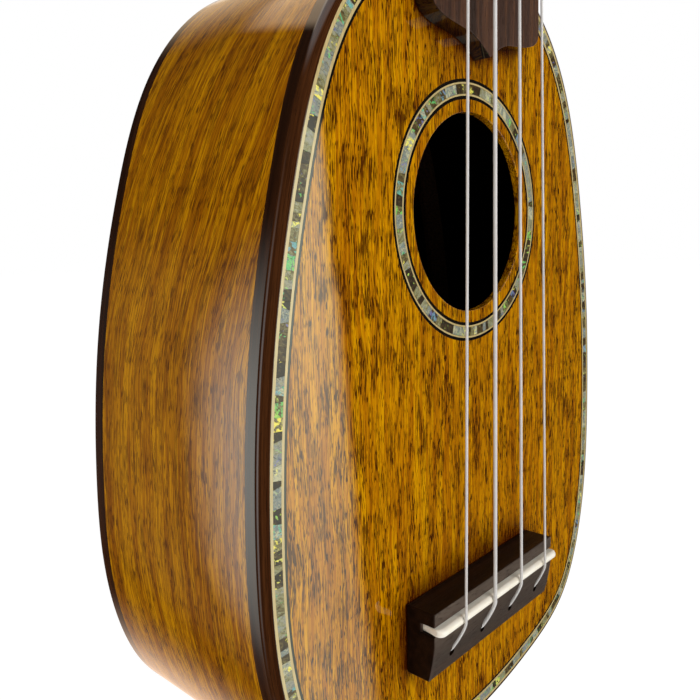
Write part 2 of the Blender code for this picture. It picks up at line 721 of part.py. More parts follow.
def neck_loops():
    """Sections of the neck from the nut to the heel's end inside the body outline."""
    rise = HEAD_BACK / math.cos(HEAD_TILT)
    loops = [neck_section(NUT_THICKNESS, NUT_WIDTH / 2, rise, HEAD_SQUARENESS, 0.0)]
    for share, squareness in NECK_TRANSITION:
        z = -share * NECK_TRANSITION_LENGTH
        depth = rise + share * (NECK_DEPTH_NUT - rise)
        loops.append(neck_section(z, fretboard_half_width(z), depth, squareness, 0.0))
    heel_start = BODY_TOP + HEEL_LENGTH
    deepest = DEPTH_NECK_END - GAP
    for k in range(HEEL_STEPS + 1):
        angle = math.pi / 2 * k / HEEL_STEPS
        z = heel_start - HEEL_LENGTH * math.sin(angle)
        depth = NECK_DEPTH_BODY + (deepest - NECK_DEPTH_BODY) * (1 - math.cos(angle))
        loops.append(neck_section(z, fretboard_half_width(z), depth, NECK_SQUARENESS, math.sin(angle) ** 2))
    last = BODY_TOP - 2 * TONGUE_OVERLAP
    loops.append(neck_section(last, fretboard_half_width(last), deepest, NECK_SQUARENESS, 1.0))
    return loops


def head_plan():
    """Outline of the headstock as (x, height above the nut)."""
    right = [(NUT_WIDTH / 2, 0.0)] + [(x * HEAD_WIDTH / 2, rise * HEAD_LENGTH) for x, rise in HEAD_OUTLINE]
    return right + [(-x, z) for x, z in right[-2::-1]]


def tilted(verts):
    """Points of the headstock's own frame in the instrument's frame."""
    return [tuple(HEAD_TURN @ Vector(point)) for point in verts]


def post_holes(radius):
    """Cutters for the four post holes through the headstock."""
    cutters = []
    for x, height in POST_PLACES:
        verts, faces = turned([(radius, -CUTTER_REACH), (radius, HEAD_BACK + CUTTER_REACH)], 12, (x, height))
        cutters.append(add("cutter", tilted(verts), faces, "black"))
    return cutters


def make_neck():
    """Neck with headstock and heel, and the foot that the rim's sides are let into."""
    neck = add("neck", *stack(neck_loops()), "mahogany")
    outside = inset_loop(-GAP)
    body = add("cutter", *prism(outside, level(-CUTTER_REACH), level(DEPTH_TAIL_END + CUTTER_REACH)), "black")
    combine(neck, "DIFFERENCE", [body])
    head = head_plan()
    root = NUT_WIDTH / 2 - GAP
    plan = [(root, -HEAD_ROOT_OVERLAP)] + head + [(-root, -HEAD_ROOT_OVERLAP)]
    verts, faces = prism(plan, level(VENEER_THICKNESS + GAP), level(HEAD_BACK))
    core = add("cutter", tilted(verts), faces, "black")
    foot_plan = block_plan(FOOT_WIDTH / 2, BODY_TOP - LINING_INSET - FOOT_LENGTH, BODY_TOP)
    front = level(TOP_THICKNESS + GAP)
    back = above_back(BACK_THICKNESS + GAP)
    foot = add("cutter", *prism(foot_plan, front, back), "black")
    half = TONGUE_WIDTH / 2
    near, far = BODY_TOP + TONGUE_OVERLAP, BODY_TOP - LINING_INSET - FOOT_LENGTH / 2
    tongue_plan = [(-half, near), (half, near), (half, far), (-half, far)]
    tongue_front = level(FRONT_BINDING_HEIGHT + GAP)
    tongue_back = above_back(BACK_BINDING_HEIGHT + GAP)
    tongue = add("cutter", *prism(tongue_plan, tongue_front, tongue_back), "black")
    combine(neck, "UNION", [core, foot, tongue])
    combine(neck, "DIFFERENCE", post_holes(POST_RADIUS + POST_HOLE_CLEARANCE))


def make_headstock_face():
    """Face veneer with the collars that carry the posts."""
    verts, faces = prism(head_plan(), level(0.0), level(VENEER_THICKNESS))
    face = add("headstock_face", tilted(verts), faces, "rosewood")
    collars = []
    for x, height in POST_PLACES:
        profile = [
            (BUSHING_RADIUS - EDGE_ROUND, -BUSHING_HEIGHT), (BUSHING_RADIUS, EDGE_ROUND - BUSHING_HEIGHT),
            (BUSHING_RADIUS, VENEER_THICKNESS / 2),
        ]
        verts, faces = turned(profile, 12, (x, height))
        collars.append(add("cutter", tilted(verts), faces, "black"))
    combine(face, "UNION", collars)
    combine(face, "DIFFERENCE", post_holes(POST_RADIUS + RUNNING_GAP))


def make_nut():
    """Bone nut with a rounded front and a slot for each string."""
    rise = STRING_HEIGHT_NUT + max(STRINGS.values()) / 2 + NUT_ABOVE_STRINGS
    outer = NUT_WIDTH / 2
    plan = [(-outer, -GAP), (-outer, EDGE_ROUND - rise), (EDGE_ROUND - outer, -rise)]
    for i, diameter in enumerate(STRINGS.values()):
        centre = NUT_SPACING * (i / (len(STRINGS) - 1) - 0.5)
        reach = diameter / 2 + STRING_SEAT
        plan.append((centre - reach, -rise))
        for k in range(5):
            angle = math.pi * k / 4
            plan.append((centre - reach * math.cos(angle), -STRING_HEIGHT_NUT + reach * math.sin(angle)))
        plan.append((centre + reach, -rise))
    plan += [(outer - EDGE_ROUND, -rise), (outer, EDGE_ROUND - rise), (outer, -GAP)]
    loops = [[(x, y, z) for x, y in plan] for z in (0.0, NUT_THICKNESS)]
    add("nut", *stack(loops), "bone")


# Fretboard and frets

def fret_place(number):
    """Height of a fret, by equal temperament."""
    return -SCALE_LENGTH * (1 - 2 ** (-number / 12))


def make_fretboard():
    """Tapered fretboard with an ogee end over the soundboard and a slot for each fret."""
    half = fretboard_half_width(FRETBOARD_SHOULDER)
    points = [(x * half, FRETBOARD_TIP + rise * OGEE_FALL) for x, rise in OGEE]
    right = [(point.x, point.y) for point in bezier(points, 6)]
    right.append((half, FRETBOARD_SHOULDER))
    plan = right + [(NUT_WIDTH / 2, -GAP), (-NUT_WIDTH / 2, -GAP)] + [(-x, z) for x, z in right[:0:-1]]
    board = add("fretboard", *prism(plan, level(-FRETBOARD_TOP), level(-GAP)), "rosewood")
    cutters = []
    slot = FRET_TANG_WIDTH / 2 + INLAY_GAP
    floor = -FRETBOARD_TOP + FRET_TANG_DEPTH + INLAY_GAP
    for number in range(1, FRET_COUNT + 1):
        z = fret_place(number)
        profile = [(-CUTTER_REACH, z - slot), (-CUTTER_REACH, z + slot), (floor, z + slot), (floor, z - slot)]
        cutters.append(add("cutter", *bar_along_x(profile, NUT_WIDTH), "black"))
    combine(board, "DIFFERENCE", cutters)
    top = FRETBOARD_TOP + INLAY_GAP
    bottom = FRETBOARD_TOP - FRET_TANG_DEPTH
    tang = FRET_TANG_WIDTH / 2
    for number in range(1, FRET_COUNT + 1):
        z = fret_place(number)
        profile = [(-bottom, z - tang), (-bottom, z + tang), (-top, z + tang), (-top, z + FRET_WIDTH / 2)]
        for k in range(1, 5):
            angle = math.pi * k / 5
            profile.append((-top - FRET_HEIGHT * math.sin(angle), z + FRET_WIDTH / 2 * math.cos(angle)))
        profile += [(-top, z - FRET_WIDTH / 2), (-top, z - tang)]
        half = fretboard_half_width(z) - FRET_END_INSET
        add("fret_%02d" % number, *bar_along_x(profile, half), "nickel")


# Tuners, each in its own frame: X along the worm, Y away from the headstock's back, Z to the tip

def worm_rows():
    """Rows of (axial place, radius, skewed) down the worm's thread."""
    half_flank = math.tan(PRESSURE_ANGLE)
    crest = WORM_PITCH_RADIUS + WORM_ADDENDUM
    root = WORM_PITCH_RADIUS - WORM_DEDENDUM
    groove = (1 - TOOTH_SHARE) / 2 * WORM_LEAD
    wide = groove + WORM_ADDENDUM * half_flank
    narrow = groove - WORM_DEDENDUM * half_flank
    turns = int(WORM_LENGTH / WORM_LEAD / 2) + 2
    rows = []
    for turn in range(-turns, turns + 1):
        centre = turn * WORM_LEAD
        rows += [(centre - wide, crest), (centre - narrow, root), (centre + narrow, root), (centre + wide, crest)]
    return rows, root


def worm_mesh(side):
    """A worm cut on its shaft, which runs out to the button; side is 1 to the right, -1 to the left."""
    rows, root = worm_rows()
    limit = WORM_LENGTH / 2
    inner, outer = -EAR_END - GAP, SHAFT_REACH
    loops = []

    def ring(places):
        """Points round the worm, one seam column more than its sides."""
        made = []
        for k in range(WORM_SIDES + 1):
            along, radius = places(k / WORM_SIDES)
            angle = 2 * math.pi * k / WORM_SIDES
            made.append((side * along, radius * math.sin(angle), radius * math.cos(angle)))
        return made

    loops.append(ring(lambda share: (inner, JOURNAL_RADIUS)))
    loops.append(ring(lambda share: (-limit, JOURNAL_RADIUS)))
    for place, radius in rows:
        def thread(share, place=place, radius=radius):
            along = place + share * WORM_LEAD
            if abs(along) >= limit:
                return math.copysign(limit, along), root
            return along, radius
        loops.append(ring(thread))
    loops.append(ring(lambda share: (limit, JOURNAL_RADIUS)))
    loops.append(ring(lambda share: (outer, JOURNAL_RADIUS)))
    count = WORM_SIDES + 1
    verts = [point for loop in loops for point in loop]
    faces = [tuple(range(WORM_SIDES)), tuple(len(verts) - count + k for k in range(WORM_SIDES))]
    for row in range(len(loops) - 1):
        for k in range(WORM_SIDES):
            first, second = row * count + k, (row + 1) * count + k
            faces.append((first, first + 1, second + 1, second))
    return verts, faces


def gear_loops(side):
    """The gear's toothed outline at its two faces, twisted to the worm's lead."""
    lead_angle = math.atan(WORM_LEAD / (2 * math.pi * WORM_PITCH_RADIUS))
    tip = GEAR_PITCH_RADIUS + GEAR_ADDENDUM
    root = GEAR_PITCH_RADIUS - GEAR_DEDENDUM
    tooth = TOOTH_SHARE * WORM_LEAD / 2
    tip_half = (tooth - GEAR_ADDENDUM * math.tan(PRESSURE_ANGLE)) / tip
    root_half = (tooth + GEAR_DEDENDUM * math.tan(PRESSURE_ANGLE)) / root
    loops = []
    for offset in (-GEAR_THICKNESS / 2, GEAR_THICKNESS / 2):
        loop = []
        for number in range(GEAR_TEETH):
            middle = 2 * math.pi * number / GEAR_TEETH + offset * math.tan(lead_angle) / GEAR_PITCH_RADIUS
            for radius, swing in ((root, -root_half), (tip, -tip_half), (tip, tip_half), (root, root_half)):
                angle = middle + swing
                loop.append((side * radius * math.sin(angle), WORM_HEIGHT + offset, -radius * math.cos(angle)))
        loops.append(loop)
    return loops


def make_post(number, frame, side):
    """String post with its gear and the gear's screw."""
    face = -HEAD_BACK
    tip = face - POST_HEIGHT
    low, high = [face - height for height in POST_WAIST_ENDS]
    gear_back = WORM_HEIGHT + GEAR_THICKNESS / 2
    hub_back = gear_back - GEAR_THICKNESS / 3
    profile = [
        (GEAR_SCREW_RADIUS / 2, gear_back + GEAR_SCREW_RISE), (GEAR_SCREW_RADIUS, gear_back + GEAR_SCREW_RISE * 0.75),
        (GEAR_SCREW_RADIUS, hub_back), (GEAR_HUB_RADIUS, hub_back), (GEAR_HUB_RADIUS, PLATE_BACK + GAP),
        (POST_RADIUS, PLATE_BACK + GAP), (POST_RADIUS, low + POST_SHOULDER), (POST_WAIST_RADIUS, low),
        (POST_WAIST_RADIUS, high), (POST_CAP_RADIUS, high - POST_SHOULDER),
        (POST_CAP_RADIUS, tip + POST_CAP_ROUND), (POST_CAP_RADIUS - POST_CAP_ROUND, tip),
    ]
    post = add("tuner_%d_post" % number, *turned(profile, 12), "nickel", frame)
    gear = add("cutter", *stack(gear_loops(side)), "brass", frame)
    combine(post, "UNION", [gear])
    angles = [2 * math.pi * k / 8 for k in range(8)]
    eye = [[(x, face - EYE_HEIGHT + EYE_RADIUS * math.cos(a), EYE_RADIUS * math.sin(a)) for a in angles]
           for x in (-CUTTER_REACH, CUTTER_REACH)]
    combine(post, "DIFFERENCE", [add("cutter", *stack(eye), "black", frame)])


def make_plate(number, frame, side):
    """Base plate with two ears that carry the worm's shaft."""
    half = PLATE_WIDTH / 2
    top = GEAR_PITCH_RADIUS + GEAR_ADDENDUM + PLATE_TAB
    bottom = -AXLE_DISTANCE - EAR_WIDTH / 2 - PLATE_TAB
    plan = []
    for x, z, turn in ((half, top, 0), (-half, top, 1), (-half, bottom, 2), (half, bottom, 3)):
        centre_x = x - math.copysign(PLATE_CORNER, x)
        centre_z = z - math.copysign(PLATE_CORNER, z)
        for k in range(4):
            angle = math.pi / 2 * (turn + k / 3)
            plan.append((centre_x + PLATE_CORNER * math.cos(angle), centre_z + PLATE_CORNER * math.sin(angle)))
    plate = add("tuner_%d_plate" % number, *prism(plan, level(GAP), level(PLATE_BACK)), "nickel", frame)
    ears = []
    middle = -AXLE_DISTANCE
    for start in (EAR_START, -EAR_END):
        low = GAP + PLATE_THICKNESS / 2
        reach = EAR_WIDTH / 2
        outline = [(low, middle - reach), (WORM_HEIGHT, middle - reach)]
        for k in range(1, 4):
            angle = math.pi * k / 4
            outline.append((WORM_HEIGHT + reach * math.sin(angle), middle - reach * math.cos(angle)))
        outline += [(WORM_HEIGHT, middle + reach), (low, middle + reach)]
        ends = (start, start + EAR_THICKNESS)
        ears.append(add("cutter", *stack([[(x, y, z) for y, z in outline] for x in ends]), "black", frame))
    combine(plate, "UNION", ears)
    sides = 12
    bearing = (JOURNAL_RADIUS + RUNNING_GAP) / math.cos(math.pi / sides)
    angles = [2 * math.pi * k / sides for k in range(sides)]
    bore = [[(x, WORM_HEIGHT + bearing * math.cos(a), middle + bearing * math.sin(a)) for a in angles]
            for x in (-CUTTER_REACH, CUTTER_REACH)]
    cutters = [add("cutter", *stack(bore), "black", frame)]
    hole = [(POST_RADIUS + RUNNING_GAP, 0.0), (POST_RADIUS + RUNNING_GAP, PLATE_BACK + GAP)]
    cutters.append(add("cutter", *turned(hole, 16), "black", frame))
    combine(plate, "DIFFERENCE", cutters)


def make_button(number, axle, side):
    """Oval button pressed on the end of the worm's shaft."""
    rings = []
    count, sides = 7, 12
    for k in range(count):
        angle = math.pi * (k + 0.5) / count
        along = BUTTON_START + BUTTON_LENGTH / 2 * (1 - math.cos(angle))
        swell = math.sin(angle) ** BUTTON_OVALNESS
        width = BUTTON_WIDTH / 2 * swell
        thick = BUTTON_THICKNESS / 2 * min(1.0, swell * BUTTON_FLATNESS)
        turns = [2 * math.pi * j / sides for j in range(sides)]
        rings.append([(side * along, thick * math.cos(a), width * math.sin(a)) for a in turns])
    button = add("tuner_%d_button" % number, *stack(rings), "pearl", axle)
    angles = [2 * math.pi * k / 12 for k in range(12)]
    radius = JOURNAL_RADIUS + RUNNING_GAP
    socket = [[(x, radius * math.cos(a), radius * math.sin(a)) for a in angles]
              for x in (0.0, side * (SHAFT_REACH + GAP))]
    combine(button, "DIFFERENCE", [add("cutter", *stack(socket), "black", axle)])


def make_tuners():
    """Four machines; an empty on each post's axis and one on each worm's axis carry the moving pieces."""
    for number, (x, height) in enumerate(POST_PLACES, start=1):
        side = 1 if x > 0 else -1
        frame = bpy.data.objects.new("tuner_%d_frame" % number, None)
        bpy.context.scene.collection.objects.link(frame)
        frame.matrix_world = HEAD_TURN @ Matrix.Translation((x, HEAD_BACK, height))
        axle = bpy.data.objects.new("tuner_%d_axle" % number, None)
        bpy.context.scene.collection.objects.link(axle)
        axle.parent = frame
        axle.location = (0.0, WORM_HEIGHT, -AXLE_DISTANCE)
        make_plate(number, frame, side)
        make_post(number, frame, side)
        add("tuner_%d_worm" % number, *worm_mesh(side), "nickel", axle)
        make_button(number, axle, side)
        bpy.context.view_layer.update()
        post_axis = frame.matrix_world.to_3x3() @ Vector((0.0, 1.0, 0.0))
        print("tuner", number, "post at", tuple(round(v, 6) for v in frame.matrix_world.translation),
              "axis", tuple(round(v, 6) for v in post_axis))
        print("tuner", number, "worm at", tuple(round(v, 6) for v in axle.matrix_world.translation))


# Strings

def wrap_points(x_post, height, start, diameter):
    """A string's turns up its post to the mouth of the eye, in the headstock's frame."""
    radius = POST_WAIST_RADIUS + WRAP_CLEARANCE + diameter / 2
    side = -1 if x_post > 0 else 1
    away = Vector((start.x - x_post, start.z - height))
    first = math.atan2(away.y, away.x) + side * math.acos(radius / away.length)
    last = math.pi * round((first + side * 2 * math.pi * WRAP_TURNS) / math.pi)
    turns = abs(last - first) / (2 * math.pi)
    points = []
    for share in np.linspace(0.0, 1.0, int(turns * WRAP_STEPS) + 1):
        angle = first + (last - first) * share
        y = -EYE_HEIGHT + (diameter + WRAP_GAP) * turns * (1 - share)
        points.append(Vector((x_post + radius * math.cos(angle), y, height + radius * math.sin(angle))))
    return points


def least_gap(points, diameter, apart):
    """Least gap between stretches of a tube that lie at least some points apart."""
    best = min((a - b).length for i, a in enumerate(points) for b in points[i + apart:])
    return best - diameter


def make_string(index, name, diameter):
    """One string: knot, hole, saddle, nut slot and its turns round the post."""
    share = index / (len(STRINGS) - 1) - 0.5
    hole_x = STRING_HOLE_SPACING * share
    saddle_x = SADDLE_SPACING * share
    nut_x = NUT_SPACING * share
    knot_y = TOP_THICKNESS + GAP + BRIDGE_PLATE_THICKNESS + GAP
    slope = (STRING_HEIGHT_SADDLE - STRING_HEIGHT_NUT) / SCALE_LENGTH
    leave_z = NUT_THICKNESS + GAP
    leave = Vector((nut_x, slope * leave_z - STRING_HEIGHT_NUT, leave_z))
    places = []
    for rise, swell in ((2.0, 0.4), (1.6, 0.8), (1.0, 1.0), (0.3, 0.8)):
        place = Vector((hole_x, knot_y + rise * KNOT_RADIUS, STRING_HOLE_Z))
        places.append((place, swell * 2 * KNOT_RADIUS / diameter))
    mouth = Vector((hole_x, STRING_MOUTH - BRIDGE_HEIGHT, STRING_HOLE_Z))
    crest = Vector((saddle_x, -STRING_HEIGHT_SADDLE, SADDLE_Z))
    out = Vector((0.0, -STRING_CURL, 0.0))
    over = Vector((0.0, 0.0, -STRING_CURL))
    bend = [tuple(point) for point in (mouth, mouth + out, crest + over, crest)]
    line = [Vector((hole_x, knot_y, STRING_HOLE_Z))] + bezier(bend, STRING_CURL_STEPS) + [crest, leave]
    x_post, height = POST_PLACES[index]
    turns = [HEAD_TURN @ point for point in wrap_points(x_post, height, HEAD_TURN.inverted() @ leave, diameter)]
    places += [(place, 1.0) for place in line + turns]
    curve = bpy.data.curves.new("string_" + name, "CURVE")
    curve.dimensions = "3D"
    curve.bevel_depth = diameter / 2
    curve.bevel_resolution = 1
    curve.render_resolution_u = 0
    curve.use_fill_caps = True
    spline = curve.splines.new("POLY")
    spline.points.add(len(places) - 1)
    for point, (place, swell) in zip(spline.points, places):
        point.co = (*place, 1.0)
        point.radius = swell
    curve.materials.append(finish("nylon"))
    bpy.context.scene.collection.objects.link(bpy.data.objects.new("string_" + name, curve))
    spare = least_gap(turns, diameter, WRAP_STEPS // 2)
    print("string", name, "least gap between its turns", round(spare * 1000, 3), "mm")
    length = sum((b[0] - a[0]).length for a, b in zip(places, places[1:]))
    print("string", name, "length", round(length * 1000, 1), "mm")


def main():
    """Build every piece from the rim to the strings."""
    for old in list(bpy.data.objects):
        bpy.data.objects.remove(old)
    make_rim()
    make_bindings()
    make_soundboard()
    make_back()
    make_bracing()
    make_bridge()
    make_saddle()
    make_neck()
    make_headstock_face()
    make_nut()
    make_fretboard()
    make_tuners()
    for index, (name, diameter) in enumerate(STRINGS.items()):
        make_string(index, name, diameter)


main()
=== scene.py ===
from math import acos, atan2, copysign, cos, degrees, pi, radians, sin, tan

import bmesh
import bpy
import numpy as np
from mathutils import Matrix, Vector


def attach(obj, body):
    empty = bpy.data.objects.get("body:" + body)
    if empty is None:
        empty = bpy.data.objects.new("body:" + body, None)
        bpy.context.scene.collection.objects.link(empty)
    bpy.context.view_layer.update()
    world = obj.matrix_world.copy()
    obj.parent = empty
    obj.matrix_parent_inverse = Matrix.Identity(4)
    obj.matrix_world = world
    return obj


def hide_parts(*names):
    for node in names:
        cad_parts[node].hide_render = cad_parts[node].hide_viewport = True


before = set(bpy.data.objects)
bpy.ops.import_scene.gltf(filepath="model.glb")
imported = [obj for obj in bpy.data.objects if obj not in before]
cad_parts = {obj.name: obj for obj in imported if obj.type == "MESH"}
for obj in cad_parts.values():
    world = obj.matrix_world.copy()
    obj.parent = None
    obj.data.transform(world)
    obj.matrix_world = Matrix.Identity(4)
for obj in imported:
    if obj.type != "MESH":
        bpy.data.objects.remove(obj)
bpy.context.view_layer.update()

RANDOM = np.random.default_rng(7)
MM = 0.001
SMOOTH = 32.0
JOINT = 0.00002
GAP = 0.0003

# Body
BODY_WIDTH = 0.1492
BODY_TOP = -0.165
BODY_TAIL = -0.3733
BODY_LENGTH = BODY_TOP - BODY_TAIL
DEPTH_NECK_END = 0.0612
DEPTH_TAIL_END = 0.0668
# Right half of the outline, as shares of the half width and of the length down from the neck end
OUTLINE = [
    (0.000, 0.000), (0.379, 0.022), (0.672, 0.112), (0.857, 0.271), (0.957, 0.437),
    (1.000, 0.625), (0.953, 0.815), (0.782, 0.928), (0.458, 0.978), (0.000, 1.000),
]
OUTLINE_STEPS = 200
RIM_STEPS = 140
TOP_THICKNESS = 0.0020
BACK_THICKNESS = 0.0020
SIDE_THICKNESS = 0.0018
BINDING_WIDTH = 0.00215
FRONT_BINDING_HEIGHT = 0.0051
BACK_BINDING_HEIGHT = 0.0040
FRONT_ROUND = 0.00210
BACK_ROUND = 0.00050
PURFLING_DEPTH = 0.0012
SHELL_INSET = 0.00295
SHELL_WIDTH = 0.0022
INNER_CREAM_INSET = 0.00515
BLACK_INSET = 0.00587
PANEL_INSET = 0.00650
TONGUE_WIDTH = 0.012
TILE_LENGTHS = (0.0012, 0.0034)
TILE_LEAN = 0.0005
LAST_TILE = 0.0008
# The sides' grain leans away from the front edge above this height
LEAN_Z = -0.268
LEAN_EASE = 0.02
LEAN = 0.27
WAIST_Z = -0.270

# Soundhole and rosette
HOLE_Z = -0.230
HOLE_RADIUS = 0.025
HOLE_EDGE = 0.0003
ROSETTE_DEPTH = 0.0010
ROSETTE_SHELL_RADIUS = 0.0294
# Rings of the rosette as (name, inner radius, width, stuff, node it stands for)
ROSETTE_LINES = [
    ("rosette_inner_black", 0.02810, 0.00078, "black", "rosette_inner_lines"),
    ("rosette_inner_cream", 0.02890, 0.00042, "cream", None),
    ("rosette_outer_cream", 0.03170, 0.00042, "cream", None),
    ("rosette_outer_black", 0.03214, 0.00076, "black", "rosette_outer_lines"),
]
CIRCLE_STEPS = 160

# Bridge, saddle and strings
SADDLE_Z = -0.330
BRIDGE_LENGTH = 0.0598
BRIDGE_TOP_Z = SADDLE_Z + 0.0048
BRIDGE_TAIL_Z = SADDLE_Z - 0.0133
BRIDGE_HEIGHT = 0.0087
BRIDGE_BACK_HEIGHT = 0.0069
BRIDGE_FLAT = 0.0036
BRIDGE_BEVEL = 0.00035
# The saddle lies between these heights from the saddle line
SADDLE_LOW = -0.0010
SADDLE_HIGH = 0.0013
SADDLE_FOOT = 0.0046
SADDLE_CREST = 0.0110
SADDLE_END_ROUND = 0.0018
SADDLE_END_INSET = 0.0002
SADDLE_END_LEAN = 0.0008
SADDLE_END_SHARE = 0.62
STRINGS = {"g": 0.0007, "c": 0.0010, "e": 0.0008, "a": 0.00065}
NUT_SPACING = 0.0256
SADDLE_SPACING = 0.0412
STRING_HOLE_SPACING = 0.0429
STRING_HOLE_Z = SADDLE_Z - 0.0088
STRING_HOLE_RADIUS = 0.00095
STRING_HEIGHT_NUT = 0.0070
STRING_HEIGHT_SADDLE = 0.0116
STRING_MOUTH = 0.0014
STRING_ASIDE = 0.00035
STRING_RISE = 0.0006
STRING_OVER = 0.0016
KNOT_RADIUS = 0.0017
KNOT_Y = 0.0046
WRAP_TURNS = 1.75
WRAP_STEPS = 40
WRAP_CLEARANCE = 0.0002
WRAP_GAP = 0.0005

# Neck, fretboard and nut
SCALE_LENGTH = 0.330
NUT_WIDTH = 0.0360
NUT_THICKNESS = 0.0045
NUT_RISE = STRING_HEIGHT_NUT + 0.0007
NUT_CORNER = 0.0008
NUT_EDGE = 0.00025
NUT_SLOT_GAP = 0.00006
NUT_SLOT_EDGE = 0.00015
NECK_SIDES = 40
NECK_BLEND = 0.018
NECK_ROUNDNESS = 0.95
NECK_DEPTH_NUT = 0.0145
NECK_DEPTH_BODY = 0.0160
HEEL_LENGTH = 0.034
HEEL_STEPS = 32
HEEL_TIP_SHARE = 0.42
HEEL_FULLNESS = 1.12
FOOT_TOP = BODY_TOP - 0.0045
FOOT_CORNER = BODY_TOP - 0.0080
FOOT_BOTTOM = BODY_TOP - 0.0152
FRETBOARD_WIDTH_END = 0.0486
FRETBOARD_TOP = 0.0050
FRETBOARD_EDGE = 0.00025
FRETBOARD_TIP = -0.1926
OGEE_FALL = 0.0100
OGEE = [
    (0.000, 0.00), (0.165, 0.26), (0.250, 0.40), (0.450, 0.45),
    (0.720, 0.53), (1.000, 0.58), (1.000, 1.00),
]
FRETS = range(1, 13)
FRET_WIDTH = 0.0020
FRET_HEIGHT = 0.0009
FRET_TANG = 0.00025
FRET_TANG_DEPTH = 0.0035
FRET_SHORT = 0.0002
FRET_SLOT = 0.0003
FRET_SLOT_DEPTH = 0.0033
# Ends of a fret wire as (way in from the end, share of the crown's height that is lost)
FRET_ENDS = [(0.0, 0.55), (0.0005, 0.12), (0.0009, 0.0)]
POSITION_DOTS = (5, 7, 10)
DOT_RADIUS = 0.0022
DOT_DEPTH = 0.0004
DOT_RISE = 0.00002

# Headstock
HEAD_TILT = radians(10.0)
HEAD_BACK = 0.0129
VENEER_THICKNESS = 0.0016
VENEER_EDGE = 0.0004
VENEER_HOLE_GAP = 0.0008
HEAD_EDGE = 0.0009
HEAD_ROOT_Z = -0.0016
HEAD_HOLE_GAP = 0.0006
HEAD_WIDTH = 0.0580
HEAD_LENGTH = 0.1070
# Right half of the headstock's outline, as shares of the half width and of the length
HEAD_SIDE = [
    (0.621, 0.0), (0.655, 0.075), (0.828, 0.206), (0.945, 0.374), (0.979, 0.579), (1.000, 0.785),
]
HEAD_CROWN = [
    (1.000, 0.785), (0.998, 0.842), (0.985, 0.888), (0.938, 0.897),
    (0.621, 0.935), (0.276, 0.972), (0.0, 1.0),
]
HEAD_TURN = Matrix.Translation((0.0, 0.0, NUT_THICKNESS + 2 * GAP)) @ Matrix.Rotation(-HEAD_TILT, 4, "X")
POST_PLACES = [(-0.0175, 0.0330), (-0.0190, 0.0710), (0.0190, 0.0710), (0.0175, 0.0330)]

# Tuners
GEAR_TEETH = 14
GEAR_PITCH_RADIUS = 0.0043
GEAR_ADDENDUM = 0.00055
GEAR_DEDENDUM = 0.00065
GEAR_THICKNESS = 0.0030
TOOTH_SHARE = 0.38
FLANK = tan(radians(20.0))
WORM_PITCH_RADIUS = 0.0020
WORM_ADDENDUM = 0.0005
WORM_DEDENDUM = 0.00075
WORM_LENGTH = 0.0066
WORM_SIDES = 40
WORM_LEAD = 2 * pi * GEAR_PITCH_RADIUS / GEAR_TEETH
JOURNAL_RADIUS = 0.0011
JOURNAL_EDGE = 0.0002
SHAFT_REACH = 0.0190
AXLE_DISTANCE = GEAR_PITCH_RADIUS + WORM_PITCH_RADIUS
PLATE_THICKNESS = 0.0010
PLATE_BACK = GAP + PLATE_THICKNESS
PLATE_WIDTH = 0.0104
PLATE_TAB = 0.0052
PLATE_CORNER = 0.0024
WORM_HEIGHT = PLATE_BACK + GAP + WORM_PITCH_RADIUS + WORM_ADDENDUM
GEAR_BACK = WORM_HEIGHT + GEAR_THICKNESS / 2
EAR_START = WORM_LENGTH / 2 + GAP
EAR_THICKNESS = 0.0012
EAR_WIDTH = 0.0050
POST_RADIUS = 0.0025
POST_WAIST_RADIUS = 0.0022
POST_CAP_RADIUS = 0.0027
POST_SHOULDER = 0.0008
POST_HEIGHT = 0.0112
POST_WAIST_LOW = 0.0026
POST_WAIST_HIGH = 0.0086
EYE_RADIUS = 0.0008
EYE_HEIGHT = 0.0078
BUSHING_RADIUS = 0.0042
BUSHING_HEIGHT = 0.0012
BUTTON_START = 0.0135
BUTTON_LENGTH = 0.0150
BUTTON_WIDTH = 0.0130
BUTTON_THICKNESS = 0.0066
BUTTON_RINGS = 22
METAL_SMOOTH = 40.0
POST_ROUND = 0.00045
SCREW_ROUND = 0.0003
BUSHING_ROUND = 0.0004
BUSHING_GAP = 0.0002
RUN_GAP = 0.0001
# A turned piece closes round a pin of this radius
CENTRE = 0.0001

# Camera, in metres and degrees
CAMERA_PLACE = Vector((-0.1585, -0.1012, -0.23697))
CAMERA_YAW = 47.509
CAMERA_PITCH = -8.547
CAMERA_ROLL = -1.319
SENSOR_WIDTH = 36.0
IMAGE_SIZE = 700
FOCAL_PIXELS = 707.08

# Studio
STUDIO_DARK = 0.02
STUDIO_FILL = 0.50
STUDIO_FALL = 0.38
FLOOR_DROP = 0.0006
FLOOR_REACH = 4.0
FLOOR_WHITE = 1.22
FLOOR_SEEN = 0.80
FLOOR_GLOW = 0.45
# Lamps as (name, place, target, width, watts); only the upper part of the left one is above the floor
LAMPS = [
    ("front_lamp", (-0.10, -1.4, 0.20), (0.0, 0.0, -0.24), 1.1, 14.0),
    ("left_lamp", (-1.5, -0.1, -0.45), (0.0, 0.03, -0.25), 1.0, 7.7),
]


# Node trees

class Number:
    """A number in a node tree, with the signs of ordinary sums."""

    def __init__(self, nodes, socket):
        self.nodes = nodes
        self.socket = socket

    def __add__(self, other):
        return self.nodes.math("ADD", self, other)

    def __sub__(self, other):
        return self.nodes.math("SUBTRACT", self, other)

    def __rsub__(self, other):
        return self.nodes.math("SUBTRACT", other, self)

    def __mul__(self, other):
        return self.nodes.math("MULTIPLY", self, other)

    def __truediv__(self, other):
        return self.nodes.math("DIVIDE", self, other)


